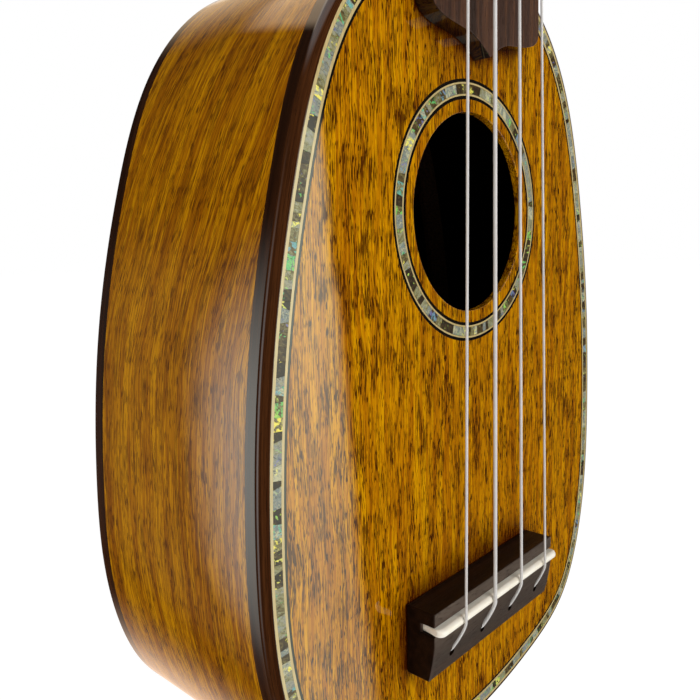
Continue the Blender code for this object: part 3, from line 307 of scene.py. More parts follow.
class Nodes:
    """A node tree whose nodes are made in one call each."""

    def __init__(self, tree):
        self.tree = tree

    def add(self, kind, settings=None, inputs=None):
        """A node with its settings and its inputs, each a value or another node's output."""
        node = self.tree.nodes.new("ShaderNode" + kind)
        for name, value in (settings or {}).items():
            setattr(node, name, value)
        for name, value in (inputs or {}).items():
            self.feed(node.inputs[name], value)
        return node

    def feed(self, socket, value):
        """Link the value to the socket if it is an output, or else set it."""
        value = getattr(value, "socket", value)
        if isinstance(value, bpy.types.NodeSocket):
            self.tree.links.new(value, socket)
        else:
            socket.default_value = value

    def number(self, *how, output=0):
        """A new node's output as a number."""
        return Number(self, self.add(*how).outputs[output])

    def math(self, operation, *values, clamp=False):
        """One sum on numbers."""
        return self.number("Math", {"operation": operation, "use_clamp": clamp}, dict(enumerate(values)))

    def most(self, first, second):
        """The larger of two numbers."""
        return self.math("MAXIMUM", first, second)

    def least(self, first, second):
        """The smaller of two numbers."""
        return self.math("MINIMUM", first, second)

    def parts(self, vector):
        """The three numbers of a vector."""
        return [Number(self, socket) for socket in self.add("SeparateXYZ", None, {0: vector}).outputs]

    def ease(self, value):
        """A share from 0 to 1 with soft ends."""
        return value * value * (3.0 - value * 2.0)

    def faded(self, value, zero, full):
        """A share that rises softly from 0 at one value to 1 at the other."""
        return self.ease(self.math("DIVIDE", value - zero, full - zero, clamp=True))

    def window(self, value, low, high, edge):
        """1 where the value lies between low and high, with even edges."""
        rising = self.math("DIVIDE", value - low, edge, clamp=True)
        return rising * self.math("DIVIDE", high - value, edge, clamp=True)


class Finish(Nodes):
    """A Principled material whose colour, roughness and bump come from nodes.

    Its places are in millimetres: across the grain, through the piece and along the grain.
    """

    def __init__(self, name, along):
        self.material = bpy.data.materials.new(name)
        self.material.use_nodes = True
        super().__init__(self.material.node_tree)
        self.shader = self.tree.nodes["Principled BSDF"]
        if along == "S":
            self.place = self.add("Attribute", {"attribute_name": "grain"}).outputs["Vector"]
        else:
            source = self.add("TexCoord").outputs["Object"]
            x, y, z = self.parts(self.vector("SCALE", {0: source, "Scale": 1000.0}))
            self.place = self.joined(z, y, x) if along == "X" else self.joined(x, y, z)

    def vector(self, operation, inputs):
        """One sum on vectors."""
        return self.add("VectorMath", {"operation": operation}, inputs).outputs[0]

    def joined(self, across, through, along):
        """A vector from three numbers."""
        return self.add("CombineXYZ", None, {0: across, 1: through, 2: along}).outputs[0]

    def moved(self, across, through, along):
        """The place, moved by three numbers."""
        return self.vector("ADD", {0: self.place, 1: self.joined(across, through, along)})

    def noise(self, sizes, detail=2.0, place=None, shift=0.0, roughness=0.5):
        """Noise whose grains have the sizes, in millimetres, across, through and along."""
        scale = [1 / size for size in sizes]
        fitted = self.vector("MULTIPLY_ADD", {0: place or self.place, 1: scale, 2: [shift] * 3})
        inputs = {"Vector": fitted, "Scale": 1.0, "Detail": detail, "Roughness": roughness}
        return self.number("TexNoise", None, inputs)

    def span(self, value, low, high, start=0.0, end=1.0):
        """The value's way from low to high, eased, as a number from start to end."""
        inputs = {"Value": value, "From Min": low, "From Max": high, "To Min": start, "To Max": end}
        return self.number("MapRange", {"interpolation_type": "SMOOTHSTEP"}, inputs)

    def ramp(self, value, *stops):
        """A colour for the value, from stops of (value, colour)."""
        node = self.add("ValToRGB", None, {0: value})
        elements = node.color_ramp.elements
        for element, (place, colour) in zip(elements, (stops[0], stops[-1])):
            element.position = place
            element.color = colour
        for place, colour in stops[1:-1]:
            elements.new(place).color = colour
        return node.outputs[0]

    def mix(self, share, first, second):
        """Two colours mixed."""
        return self.add("Mix", {"data_type": "RGBA"}, {0: share, 6: first, 7: second}).outputs[2]

    def wander(self, reach, sizes):
        """The place, with the grain straying sideways by up to the reach."""
        return self.moved(self.noise(sizes, 1.0, shift=5.3) * (2 * reach) - reach, 0.0, 0.0)

    def bump(self, height, depth):
        """A bumped normal; the depth is in millimetres."""
        return self.add("Bump", None, {"Height": height, "Strength": 1.0, "Distance": depth * MM}).outputs[0]

    def fix(self, **values):
        """Set constants of the shader, under its own names in small letters."""
        for name, value in values.items():
            self.shader.inputs[name.replace("_", " ").title().replace("Ior", "IOR")].default_value = value

    def lacquer(self, weight=1.0, roughness=0.03):
        """A clear gloss coat that is almost level over the grain."""
        self.fix(coat_weight=weight, coat_roughness=roughness, coat_ior=1.52)
        waves = self.noise((9.0, 9.0, 14.0), 1.0, shift=2.1)
        self.feed(self.shader.inputs["Coat Normal"], self.bump(waves, 0.012))

    def done(self, colour, roughness, normal, **values):
        """Feed the shader and give the material."""
        for name, value in (("Base Color", colour), ("Roughness", roughness), ("Normal", normal)):
            self.feed(self.shader.inputs[name], value)
        self.fix(**values)
        return self.material


# Finishes

def srgb(red, green, blue):
    """A colour given as the screen shows it, from 0 to 255, as linear light."""
    made = []
    for value in (red, green, blue):
        share = value / 255
        made.append(share / 12.92 if share <= 0.04045 else ((share + 0.055) / 1.055) ** 2.4)
    return (*made, 1.0)


# Koa as (pale, gold, deep, pores, dashes' length, lines' length, lines' strength, pores' strength)
KOA_TOP = [srgb(206, 144, 0), srgb(186, 121, 0), srgb(162, 96, 0), srgb(58, 20, 0), 2.7, 8.0, 0.9, 0.96]
KOA_SIDE = [srgb(212, 144, 0), srgb(186, 118, 0), srgb(156, 90, 0), srgb(74, 32, 2), 3.2, 16.0, 0.6, 0.80]


def koa(name, along, kind=KOA_TOP, matched=False):
    """Golden lacquered wood with crowds of short dark pores and a faint stripe, and painted shade that
    darkens it to deep red in nooks.
    """
    made = Finish(name, along)
    if matched:
        x, y, z = made.parts(made.place)
        made.place = made.joined(made.math("ABSOLUTE", x), y, z)
    pale, gold, deep, pore, dash_length, line_length, line_strength, strength = kind
    place = made.wander(1.6, (12.0, 12.0, 28.0))
    stripe = made.noise((2.6, 2.6, 90.0), 3.0, place)
    streak = made.noise((0.55, 0.55, 18.0), 1.0, place, 1.7)
    density = made.noise((2.4, 2.4, 9.0), 2.0, place, 3.7) * 0.40 - 0.20
    dash = made.noise((0.23, 0.23, dash_length), 1.0, place)
    line = made.noise((0.24, 0.24, line_length), 1.0, place, 9.1)
    dashes = made.span(dash + density, 0.55, 0.61)
    pores = made.most(dashes, made.span(line + density, 0.53, 0.61, 0.0, line_strength))
    wood = made.ramp(streak * 0.5 + stripe * 0.5, (0.40, deep), (0.50, gold), (0.60, pale))
    # Painted shade: ambient occlusion darkens the base colour towards deep red near the bridge, the
    # fretboard and other nooks
    nook = made.number("AmbientOcclusion", {"samples": 6}, {"Distance": 12.0 * MM}, output="AO")
    shade = made.span(nook, 0.48, 0.99, 0.95, 0.0)
    colour = made.mix(shade, made.mix(pores * strength, wood, pore), srgb(64, 14, 0))
    made.lacquer()
    roughness = made.span(pores, 0.0, 1.0, 0.42, 0.6)
    return made.done(colour, roughness, made.bump(dash, 0.02), specular_ior_level=0.0)


def inner_wood_in_shade(name, along, light, dark):
    """Bare wood inside the body, its colours darkened to painted shade."""
    made = Finish(name, along)
    grain = made.noise((0.7, 0.7, 30.0), 3.0, made.wander(1.0, (12.0, 12.0, 50.0)))
    fuzz = made.noise((0.12, 0.12, 1.5), 1.0)
    colour = made.ramp(grain, (0.35, dark), (0.65, light))
    relief = made.bump(grain + fuzz * 0.4, 0.06)
    return made.done(colour, made.span(fuzz, 0.3, 0.7, 0.7, 0.9), relief, specular_ior_level=0.2)


def rosewood(name, along, browns, gloss, pore=0.5, level=0.5, ior=1.5):
    """Dark streaked wood, lacquered or rubbed to a satin."""
    made = Finish(name, along)
    light, middle, dark = browns
    place = made.wander(0.8, (10.0, 10.0, 60.0))
    stripe = made.noise((2.2, 2.2, 160.0), 3.0, place, roughness=0.6)
    fibre = made.noise((0.30, 0.30, 7.0), 2.0, place, 4.4)
    pores = made.span(made.noise((0.22, 0.22, 2.6), 1.0, place, 8.2), 0.60, 0.70)
    colour = made.ramp(stripe, (0.32, dark), (0.48, middle), (0.64, light))
    colour = made.mix(made.span(fibre, 0.42, 0.66, 0.0, 0.5), colour, dark)
    colour = made.mix(pores * pore, colour, (0.002, 0.001, 0.001, 1.0))
    height = fibre * 0.5 - pores
    if gloss:
        made.lacquer(roughness=0.02)
        roughness = made.span(fibre, 0.3, 0.7, 0.4, 0.5)
        return made.done(colour, roughness, made.bump(height, 0.01), specular_ior_level=0.0)
    made.fix(specular_tint=(1.0, 0.70, 0.62, 1.0))
    roughness = made.span(fibre, 0.3, 0.7, 0.36, 0.48) + pores * 0.3
    return made.done(colour, roughness, made.bump(height, 0.05), specular_ior_level=level, ior=ior)


def mahogany(name, along):
    """Reddish neck wood with open pores under a satin finish."""
    made = Finish(name, along)
    place = made.wander(1.6, (14.0, 14.0, 80.0))
    stripe = made.noise((3.0, 3.0, 150.0), 3.0, place)
    fibre = made.noise((0.40, 0.40, 9.0), 2.0, place, 1.9)
    pores = made.span(made.noise((0.24, 0.24, 3.4), 1.0, place, 6.6), 0.60, 0.70)
    colour = made.ramp(stripe, (0.32, srgb(96, 46, 22)), (0.5, srgb(124, 64, 30)), (0.68, srgb(146, 80, 40)))
    colour = made.mix(made.span(fibre, 0.42, 0.66, 0.0, 0.4), colour, srgb(86, 38, 18))
    colour = made.mix(pores * 0.7, colour, srgb(40, 16, 8))
    made.fix(coat_weight=0.5, coat_roughness=0.22)
    relief = made.bump(fibre * 0.4 - pores, 0.02)
    return made.done(colour, made.span(fibre, 0.3, 0.7, 0.38, 0.5), relief, specular_ior_level=0.4)


def abalone(name):
    """Shell cut in short pieces: grey, olive and dark brown, and a few pieces that flash."""
    made = Finish(name, "S")
    tile = made.number("Attribute", {"attribute_name": "tile"}, output="Fac")
    other = made.math("FRACT", tile * 7.31)
    third = made.math("FRACT", tile * 23.7)
    swirl = made.noise((1.8, 1.0, 1.8))
    place = made.moved(swirl * 3.0, 0.0, swirl * -2.2)
    layers = made.noise((1.1, 1.0, 0.7), 3.0, place, roughness=0.6)
    muted = made.ramp(
        layers * 0.8 + (tile * 0.8 - 0.30),
        (0.12, srgb(34, 20, 8)), (0.28, srgb(78, 60, 30)), (0.42, srgb(120, 112, 68)),
        (0.52, srgb(142, 140, 104)), (0.64, srgb(150, 148, 132)), (0.76, srgb(108, 120, 118)),
        (0.92, srgb(186, 182, 146)),
    )
    bright = made.ramp(
        made.noise((2.0, 1.0, 1.6), 1.0, place, 6.1) * 0.35 + other * 0.7,
        (0.20, srgb(255, 238, 90)), (0.36, srgb(236, 232, 110)), (0.48, srgb(140, 214, 90)),
        (0.60, srgb(80, 190, 120)), (0.72, srgb(110, 176, 176)), (0.84, srgb(116, 116, 170)),
    )
    spark = made.noise((1.0, 1.0, 0.9), 1.0, place, 2.8) + made.span(third, 0.70, 1.0, -0.06, 0.14)
    colour = made.mix(made.span(spark, 0.58, 0.66, 0.0, 0.80), muted, bright)
    vein = made.math("ABSOLUTE", made.noise((1.3, 1.0, 0.8), 2.0, place, 4.9) - 0.5)
    colour = made.mix(made.span(vein, 0.0, 0.022, 0.8, 0.0), colour, srgb(30, 22, 12))
    made.lacquer(weight=0.4)
    roughness = made.span(layers, 0.3, 0.7, 0.3, 0.45)
    return made.done(colour, roughness, made.bump(layers, 0.01), specular_ior_level=0.2)


def plain(name, along, light, dark, roughness, grain=(0.5, 0.5, 6.0), depth=0.01, gloss=False, **values):
    """A nearly even stuff with a faint grain in colour, roughness and relief."""
    made = Finish(name, along)
    cloud = made.noise(grain, 3.0)
    colour = made.ramp(cloud, (0.30, dark), (0.70, light))
    if gloss:
        made.lacquer()
        made.fix(specular_ior_level=0.0)
    shine = made.span(cloud, 0.3, 0.7, roughness * 0.8, roughness * 1.2)
    return made.done(colour, shine, made.bump(cloud, depth), **values)


def metal(name, colour, worn, roughness):
    """Plated metal with fine rubbing marks."""
    made = Finish(name, "X")
    rub = made.noise((0.12, 0.5, 2.5))
    wear = made.noise((2.0, 2.0, 2.0), 3.0)
    tint = made.ramp(wear, (0.38, worn), (0.60, colour))
    return made.done(tint, rub * roughness + roughness * 0.6, made.bump(rub, 0.004), metallic=0.55)


def pearl(name):
    """Pearly plastic with folded milky clouds."""
    made = Finish(name, "X")
    fold = made.noise((3.0, 3.0, 3.0))
    cloud = made.noise((1.6, 1.6, 1.6), 3.0, made.moved(fold * 5.0, fold * 4.0, 0.0))
    stops = (0.30, srgb(188, 182, 166)), (0.48, srgb(222, 217, 204)), (0.62, srgb(240, 236, 226))
    colour = made.ramp(cloud, *stops)
    made.lacquer(roughness=0.05)
    return made.done(colour, made.span(cloud, 0.3, 0.7, 0.22, 0.38), made.bump(cloud, 0.01), metallic=0.1)


def make_finishes():
    """Every material of the instrument, by name."""
    board = (srgb(92, 58, 36), srgb(66, 40, 28), srgb(32, 18, 12))
    edge = (srgb(44, 24, 16), srgb(26, 13, 10), srgb(10, 6, 5))
    bridge = (srgb(38, 21, 10), srgb(27, 14, 6), srgb(12, 6, 3))
    binding = (srgb(76, 42, 18), srgb(56, 28, 10), srgb(36, 16, 4))
    bone = {"grain": (1.2, 1.2, 5.0), "depth": 0.006}
    nylon = {"grain": (0.4, 0.4, 14.0), "depth": 0.004, "transmission_weight": 0.12, "ior": 1.5}
    made = [
        koa("koa_top", "Z"),
        koa("koa_side", "S", KOA_SIDE),
        koa("koa_back", "Z", matched=True),
        # The wood inside the body is painted far darker than it is, as painted shade: near black for the
        # koa, dark brown for the spruce and the blocks
        inner_wood_in_shade("koa_inside", "Z", srgb(10, 6, 3), srgb(5, 3, 2)),
        inner_wood_in_shade("spruce", "X", srgb(70, 44, 22), srgb(44, 26, 12)),
        inner_wood_in_shade("block", "X", srgb(44, 22, 10), srgb(28, 13, 6)),
        rosewood("binding", "S", binding, True, 0.3),
        # Two copies of the bridge's rosewood: painted sheen on the top, whose stronger reflection stands in
        # for light, and painted shade on the walls, whose weak reflection keeps them dark
        rosewood("bridge_wood", "X", bridge, False, level=1.0, ior=1.75),
        rosewood("bridge_edge", "X", bridge, False, level=0.12),
        rosewood("board_wood", "Z", board, False),
        rosewood("board_edge", "Z", edge, True),
        rosewood("face_wood", "Z", board, True),
        mahogany("mahogany", "Z"),
        plain("cream_line", "Z", srgb(200, 180, 128), srgb(180, 158, 104), 0.35, gloss=True),
        plain("black_line", "Z", srgb(30, 24, 16), srgb(12, 9, 6), 0.4, gloss=True),
        abalone("abalone"),
        plain("bone", "X", srgb(255, 250, 236), srgb(248, 238, 216), 0.34, **bone),
        plain("nylon", "Z", srgb(226, 223, 219), srgb(214, 210, 205), 0.32, **nylon),
        metal("nickel", srgb(204, 200, 192), srgb(176, 170, 160), 0.22),
        metal("brass", srgb(214, 178, 104), srgb(172, 132, 70), 0.26),
        pearl("pearl"),
    ]
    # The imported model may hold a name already, and Blender then adds a number to it
    return {material.name.split(".")[0]: material for material in made}


# Mesh helpers, where a mesh is a pair of points and faces

def stack(loops, capped=True, closed=False):
    """A mesh through loops of equal count; a closed one runs on from the last loop to the first."""
    count, size = len(loops[0]), len(loops)
    verts = [tuple(point) for loop in loops for point in loop]
    faces = [tuple(range(count)), tuple(range(len(verts) - count, len(verts)))] if capped else []
    for row in range(size if closed else size - 1):
        here, after = row * count, (row + 1) % size * count
        for i in range(count):
            j = (i + 1) % count
            faces.append((here + i, here + j, after + j, after + i))
    return verts, faces


def round_angles(count):
    """Even angles round a circle."""
    return [2 * pi * k / count for k in range(count)]


def corner_arc(radius, steps):
    """Insets and drops along a rounded corner, from its face to its side."""
    angles = [pi / 2 * k / steps for k in range(steps + 1)]
    return [(radius * (1 - sin(angle)), radius * (1 - cos(angle))) for angle in angles]


def circle(radius, depth, centre=(0.0, HOLE_Z), steps=CIRCLE_STEPS):
    """A loop round a centre given as (x, z), at a depth."""
    return [(centre[0] + radius * cos(a), depth, centre[1] + radius * sin(a)) for a in round_angles(steps)]


def turned(profile, sides, centre=(0.0, 0.0)):
    """A body turned about Y from (radius, y) points."""
    return stack([circle(radius, y, centre, sides) for radius, y in profile])


def rod(radius, y, z, reach, sides):
    """A round rod along X."""
    loop = [(y + radius * cos(a), z + radius * sin(a)) for a in round_angles(sides)]
    return bar_along_x(loop, -reach, reach)


def bar_along_x(profile, start, end):
    """A bar along X with a profile of (y, z)."""
    return stack([[(x, y, z) for y, z in profile] for x in (start, end)])


def prism(plan, front, back):
    """A slab whose plan is a loop of (x, z), between two planes given as functions of z."""
    return stack([[(x, plane(z), z) for x, z in plan] for plane in (front, back)])


def rounded_slab(plan, front, back, radius):
    """A slab between two depths whose edges are rounded at both faces."""
    loop = [Vector(point) for point in plan]
    inward = []
    for before, here, after in zip(loop[-1:] + loop[:-1], loop, loop[1:] + loop[:1]):
        heading = (after - here).normalized() + (here - before).normalized()
        inward.append(Vector((-heading.y, heading.x)).normalized())
    middle = sum(loop, Vector((0.0, 0.0))) / len(loop)
    if (middle - loop[0]).dot(inward[0]) < 0:
        inward = [-way for way in inward]
    arc = corner_arc(radius, 3)
    rings = [(inset, front + drop) for inset, drop in arc]
    rings += [(inset, back - drop) for inset, drop in arc[::-1]]
    loops = []
    for inset, depth in rings:
        loops.append([(p.x + way.x * inset, depth, p.y + way.y * inset) for p, way in zip(loop, inward)])
    return stack(loops)


def arc_profile(points, radius, steps=4):
    """A turned profile of (radius, y) with its inner corners rounded."""
    made = [points[0]]
    for before, here, after in zip(points, points[1:], points[2:]):
        before, here, after = Vector(before), Vector(here), Vector(after)
        reach = min(radius, (before - here).length / 2, (after - here).length / 2)
        first = here + (before - here).normalized() * reach
        last = here + (after - here).normalized() * reach
        for k in range(steps + 1):
            t = k / steps
            made.append(tuple(first * (1 - t) ** 2 + here * 2 * t * (1 - t) + last * t * t))
    return made + [points[-1]]


def bezier(points, steps):
    """Points on a chain of cubic curves, without the last one."""
    made = []
    for start in range(0, len(points) - 1, 3):
        a, b, c, d = [Vector(point) for point in points[start:start + 4]]
        for step in range(steps):
            t = step / steps
            s = 1 - t
            made.append(a * s**3 + b * 3 * s * s * t + c * 3 * s * t * t + d * t**3)
    return made


def shaded(mesh, smooth):
    """Smooth shading up to an angle in degrees."""
    mesh.shade_smooth()
    mesh.set_sharp_from_angle(angle=radians(smooth))


def linked(name, data):
    """An object for the data, in the scene."""
    made = bpy.data.objects.new(name, data)
    bpy.context.scene.collection.objects.link(made)
    return made


def mesh_object(name, mesh, matrix=None, smooth=SMOOTH, weld=False, grain=None):
    """An object with even normals; welding merges points that lie on each other."""
    verts, faces = mesh
    if matrix is not None:
        verts = [tuple(matrix @ Vector(point)) for point in verts]
    data = bpy.data.meshes.new(name)
    data.from_pydata(verts, [], faces)
    if grain is not None:
        layer = data.attributes.new("grain", "FLOAT_VECTOR", "POINT")
        layer.data.foreach_set("vector", np.array(grain, np.float32).ravel())
    shape = bmesh.new()
    shape.from_mesh(data)
    if weld:
        bmesh.ops.remove_doubles(shape, verts=shape.verts, dist=1e-7)
    bmesh.ops.recalc_face_normals(shape, faces=shape.faces)
    shape.to_mesh(data)
    shape.free()
    shaded(data, smooth)
    return linked(name, data)


def combine(body, operation, meshes, matrix=None, smooth=SMOOTH):
    """Join meshes to the body or cut them from it, and keep one plain mesh."""
    tools = [mesh_object("cutter", mesh, matrix) for mesh in meshes]
    return combine_objects(body, operation, tools, smooth)


def combine_objects(body, operation, tools, smooth=SMOOTH):
    """Join finished objects to the body or cut them from it."""
    for tool in tools:
        modifier = body.modifiers.new(operation.lower(), "BOOLEAN")
        modifier.operation = operation
        modifier.solver = "EXACT"
        modifier.object = tool
    bpy.context.view_layer.update()
    evaluated = body.evaluated_get(bpy.context.evaluated_depsgraph_get())
    mesh = bpy.data.meshes.new_from_object(evaluated)
    body.modifiers.clear()
    body.data = mesh
    shaded(mesh, smooth)
    for tool in tools:
        bpy.data.objects.remove(tool)
    return body


def soften(body, width, angle=30.0, segments=2):
    """Bevel the sharp edges of a finished piece."""
    modifier = body.modifiers.new("edges", "BEVEL")
    modifier.width = width
    modifier.segments = segments
    modifier.limit_method = "ANGLE"
    modifier.angle_limit = radians(angle)
    modifier.harden_normals = True
    return body


def dress(piece, finishes, node=None, body="instrument"):
    """Give a piece its materials, its body and the node that it stands for."""
    piece.data.materials.clear()
    for name in finishes.split():
        piece.data.materials.append(FINISHES[name])
    if piece.type == "MESH":
        piece.modifiers.new("level faces", "WEIGHTED_NORMAL").keep_sharp = True
    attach(piece, body)
    if node:
        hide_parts(node)
    return piece


def paint(piece, test):
    """Give the second material to the faces that the test picks."""
    for face in piece.data.polygons:
        face.material_index = 1 if test(face) else 0


# Outline of the body

def closed_spline(points, count):
    """Points on a smooth closed curve through the points."""
    knots = np.array(points)
    step = np.roll(knots, -1, axis=0) - knots
    length = np.linalg.norm(step, axis=1)
    size = len(knots)
    system = np.zeros((size, size))
    target = np.zeros((size, 2))
    for i in range(size):
        system[i, i - 1] = length[i - 1]
        system[i, i] = 2 * (length[i - 1] + length[i])
        system[i, (i + 1) % size] = length[i]
        target[i] = 6 * (step[i] / length[i] - step[i - 1] / length[i - 1])
    bend = np.linalg.solve(system, target)
    made = []
    for i in range(size):
        j = (i + 1) % size
        for t in np.linspace(0.0, 1.0, count, endpoint=False):
            s = 1 - t
            bow = (s**3 - s) * bend[i] + (t**3 - t) * bend[j]
            made.append(s * knots[i] + t * knots[j] + bow * length[i] ** 2 / 6)
    return np.array(made)


def dense_outline():
    """The right half as rows of (distance round, x, z, normal x, normal z)."""
    right = [(x * BODY_WIDTH / 2, BODY_TOP - down * BODY_LENGTH) for x, down in OUTLINE]
    left = [(-x, z) for x, z in right[-2:0:-1]]
    half = closed_spline(right + left, OUTLINE_STEPS)[:(len(OUTLINE) - 1) * OUTLINE_STEPS + 1]
    step = np.gradient(half, axis=0)
    normals = np.stack([-step[:, 1], step[:, 0]], axis=1) / np.linalg.norm(step, axis=1)[:, None]
    normals[0] = (0.0, 1.0)
    normals[-1] = (0.0, -1.0)
    chords = np.linalg.norm(np.diff(half, axis=0), axis=1)
    return np.column_stack([np.concatenate([[0.0], np.cumsum(chords)]), half, normals])


DENSE = dense_outline()
HALF_ROUND = float(DENSE[-1, 0])


def station(distance):
    """The outline at a distance round it, as (x, z, normal x, normal z, distance from the neck end)."""
    distance = distance % (2 * HALF_ROUND)
    side = 1.0 if distance <= HALF_ROUND else -1.0
    along = distance if side > 0 else 2 * HALF_ROUND - distance
    x, z, nx, nz = [float(np.interp(along, DENSE[:, 0], DENSE[:, k])) for k in range(1, 5)]
    return side * x, z, side * nx, nz, along


RING = [station(HALF_ROUND * k / RIM_STEPS) for k in range(2 * RIM_STEPS)]


def inset_loop(inset):
    """The outline moved inwards, as (x, z)."""
    return [(x - nx * inset, z - nz * inset) for x, z, nx, nz, along in RING]


def level(depth):
    """A plane parallel to the soundboard."""
    return lambda z: depth


def above_back(distance):
    """A plane parallel to the back, the distance above it."""
    growth = DEPTH_TAIL_END - DEPTH_NECK_END
    return lambda z: DEPTH_NECK_END + (BODY_TOP - z) / BODY_LENGTH * growth - distance


def swept(name, profile, rows=None, slant=0.0):
    """A profile of (inset, plane) carried round the outline, or along rows of it; the grain runs round."""
    loops, grain = [], []
    for x, z, nx, nz, along in rows or RING:
        rise = max(0.0, z - LEAN_Z)
        lean = slant * rise * rise / (rise + LEAN_EASE)
        loop = [(x - nx * inset, plane(z - nz * inset), z - nz * inset) for inset, plane in profile]
        loops.append(loop)
        for point, (inset, plane) in zip(loop, profile):
            grain.append(((point[1] + lean - inset) / MM, copysign(40.0, x) + inset / MM, along / MM))
    return mesh_object(name, stack(loops, capped=rows is not None, closed=rows is None), grain=grain)


# Rim

def faces_inwards(face):
    """Whether a face of the sides looks to the inside of the body."""
    outward = face.normal.x * face.center.x + face.normal.z * (face.center.z - WAIST_Z)
    return outward < -0.01


def make_sides():
    """Two bent sides, butted at the tail and parted at the neck's tongue."""
    front = level(FRONT_BINDING_HEIGHT + JOINT)
    back = above_back(BACK_BINDING_HEIGHT + JOINT)
    profile = [(0.0, front), (SIDE_THICKNESS, front), (SIDE_THICKNESS, back), (0.0, back)]
    for word, side in (("bass", -1), ("treble", 1)):
        rows = []
        for distance in np.linspace(TONGUE_WIDTH / 2 + GAP, HALF_ROUND - JOINT, RIM_STEPS):
            x, z, nx, nz, along = station(float(distance))
            rows.append((side * x, z, side * nx, nz, along))
        piece = swept("side_wood_" + word, profile, rows, LEAN)
        dress(piece, "koa_side koa_inside", "side_" + word)
        paint(piece, faces_inwards)


def rounded_band(edge, far, sign, radius):
    """Profile of a binding with a rounded outer edge; the sign leads from the edge plane to the far one."""
    profile = [(BINDING_WIDTH, edge)]
    for inset, drop in corner_arc(radius, 16):
        profile.append((inset, lambda z, drop=drop: edge(z) + sign * drop))
    return profile + [(0.0, far), (BINDING_WIDTH, far)]


def make_bindings():
    """Dark bindings and the lines inlaid beside the front one."""
    front = rounded_band(level(0.0), level(FRONT_BINDING_HEIGHT), 1.0, FRONT_ROUND)
    back = rounded_band(above_back(0.0), above_back(BACK_BINDING_HEIGHT), -1.0, BACK_ROUND)
    dress(swept("front_binding", front), "binding", "binding_front")
    dress(swept("back_binding", back), "binding", "binding_back")
    top, floor = level(0.0), level(PURFLING_DEPTH)
    for name, outer, inner, stuff, node in (
        ("edge_cream_outer", BINDING_WIDTH + JOINT, SHELL_INSET - JOINT, "cream", "purfling_cream"),
        ("edge_cream_inner", INNER_CREAM_INSET + JOINT, BLACK_INSET - JOINT, "cream", None),
        ("edge_black", BLACK_INSET, PANEL_INSET - JOINT, "black", "purfling_lines"),
    ):
        band = swept(name, [(outer, top), (inner, top), (inner, floor), (outer, floor)])
        dress(band, stuff + "_line", node)


def shell_tiles(name, node, total, place, depth):
    """Short pieces of shell end to end; place gives a point from its way along, across and down."""
    verts, faces, grain, tiles = [], [], [], []
    start, lean = 0.0, 0.0
    while start < total - 1e-6:
        end = start + float(RANDOM.uniform(*TILE_LENGTHS))
        next_lean = float(RANDOM.uniform(-TILE_LEAN, TILE_LEAN))
        if end > total - LAST_TILE:
            end, next_lean = total, 0.0
        shade = float(RANDOM.random())
        loops = []
        for share in (0.0, 0.5, 1.0):
            joint = start + share * (end - start) + (0.5 - share) * 2 * JOINT
            tilt = lean + share * (next_lean - lean)
            corners = [(0.0, 0.0), (SHELL_WIDTH, 0.0), (SHELL_WIDTH, depth), (0.0, depth)]
            spots = [(joint + tilt * (across / SHELL_WIDTH - 0.5), across, down) for across, down in corners]
            loops.append([place(*spot) for spot in spots])
            grain += [(across / MM, 60.0 * shade, along / MM) for along, across, down in spots]
            tiles += [shade] * 4
        more, sides = stack(loops)
        faces += [tuple(len(verts) + i for i in face) for face in sides]
        verts += more
        start, lean = end, next_lean
    piece = mesh_object(name, (verts, faces), grain=grain)
    layer = piece.data.attributes.new("tile", "FLOAT", "POINT")
    layer.data.foreach_set("value", np.array(tiles, np.float32))
    dress(piece, "abalone", node)


def edge_place(along, across, down):
    """A point on the shell strip round the front."""
    x, z, nx, nz, distance = station(along)
    inset = SHELL_INSET + across
    return x - nx * inset, down, z - nz * inset


def rosette_place(along, across, down):
    """A point on the shell ring round the soundhole."""
    angle = along / (ROSETTE_SHELL_RADIUS + SHELL_WIDTH / 2)
    radius = ROSETTE_SHELL_RADIUS + across
    return radius * sin(angle), down, HOLE_Z + radius * cos(angle)


# Plates

def string_share(index):
    """A string's place across the instrument, from -0.5 to 0.5."""
    return index / (len(STRINGS) - 1) - 0.5


def string_circles(depth):
    """Loops of the four string holes at a depth."""
    places = [(STRING_HOLE_SPACING * string_share(i), STRING_HOLE_Z) for i in range(len(STRINGS))]
    return [circle(STRING_HOLE_RADIUS, depth, place, 20) for place in places]


def pierced(regions, walls):
    """A plate from filled regions, each a list of loops, and walls through loops."""
    shape = bmesh.new()
    for loops in regions:
        edges = []
        for loop in loops:
            corners = [shape.verts.new(point) for point in loop]
            edges += [shape.edges.new(pair) for pair in zip(corners, corners[1:] + corners[:1])]
        bmesh.ops.triangle_fill(shape, edges=edges, use_beauty=True, normal=(0.0, 1.0, 0.0))
    shape.verts.index_update()
    verts = [tuple(corner.co) for corner in shape.verts]
    faces = [tuple(corner.index for corner in face.verts) for face in shape.faces]
    shape.free()
    for wall in walls:
        more, sides = stack(wall, capped=False)
        faces += [tuple(len(verts) + i for i in face) for face in sides]
        verts += more
    return verts, faces


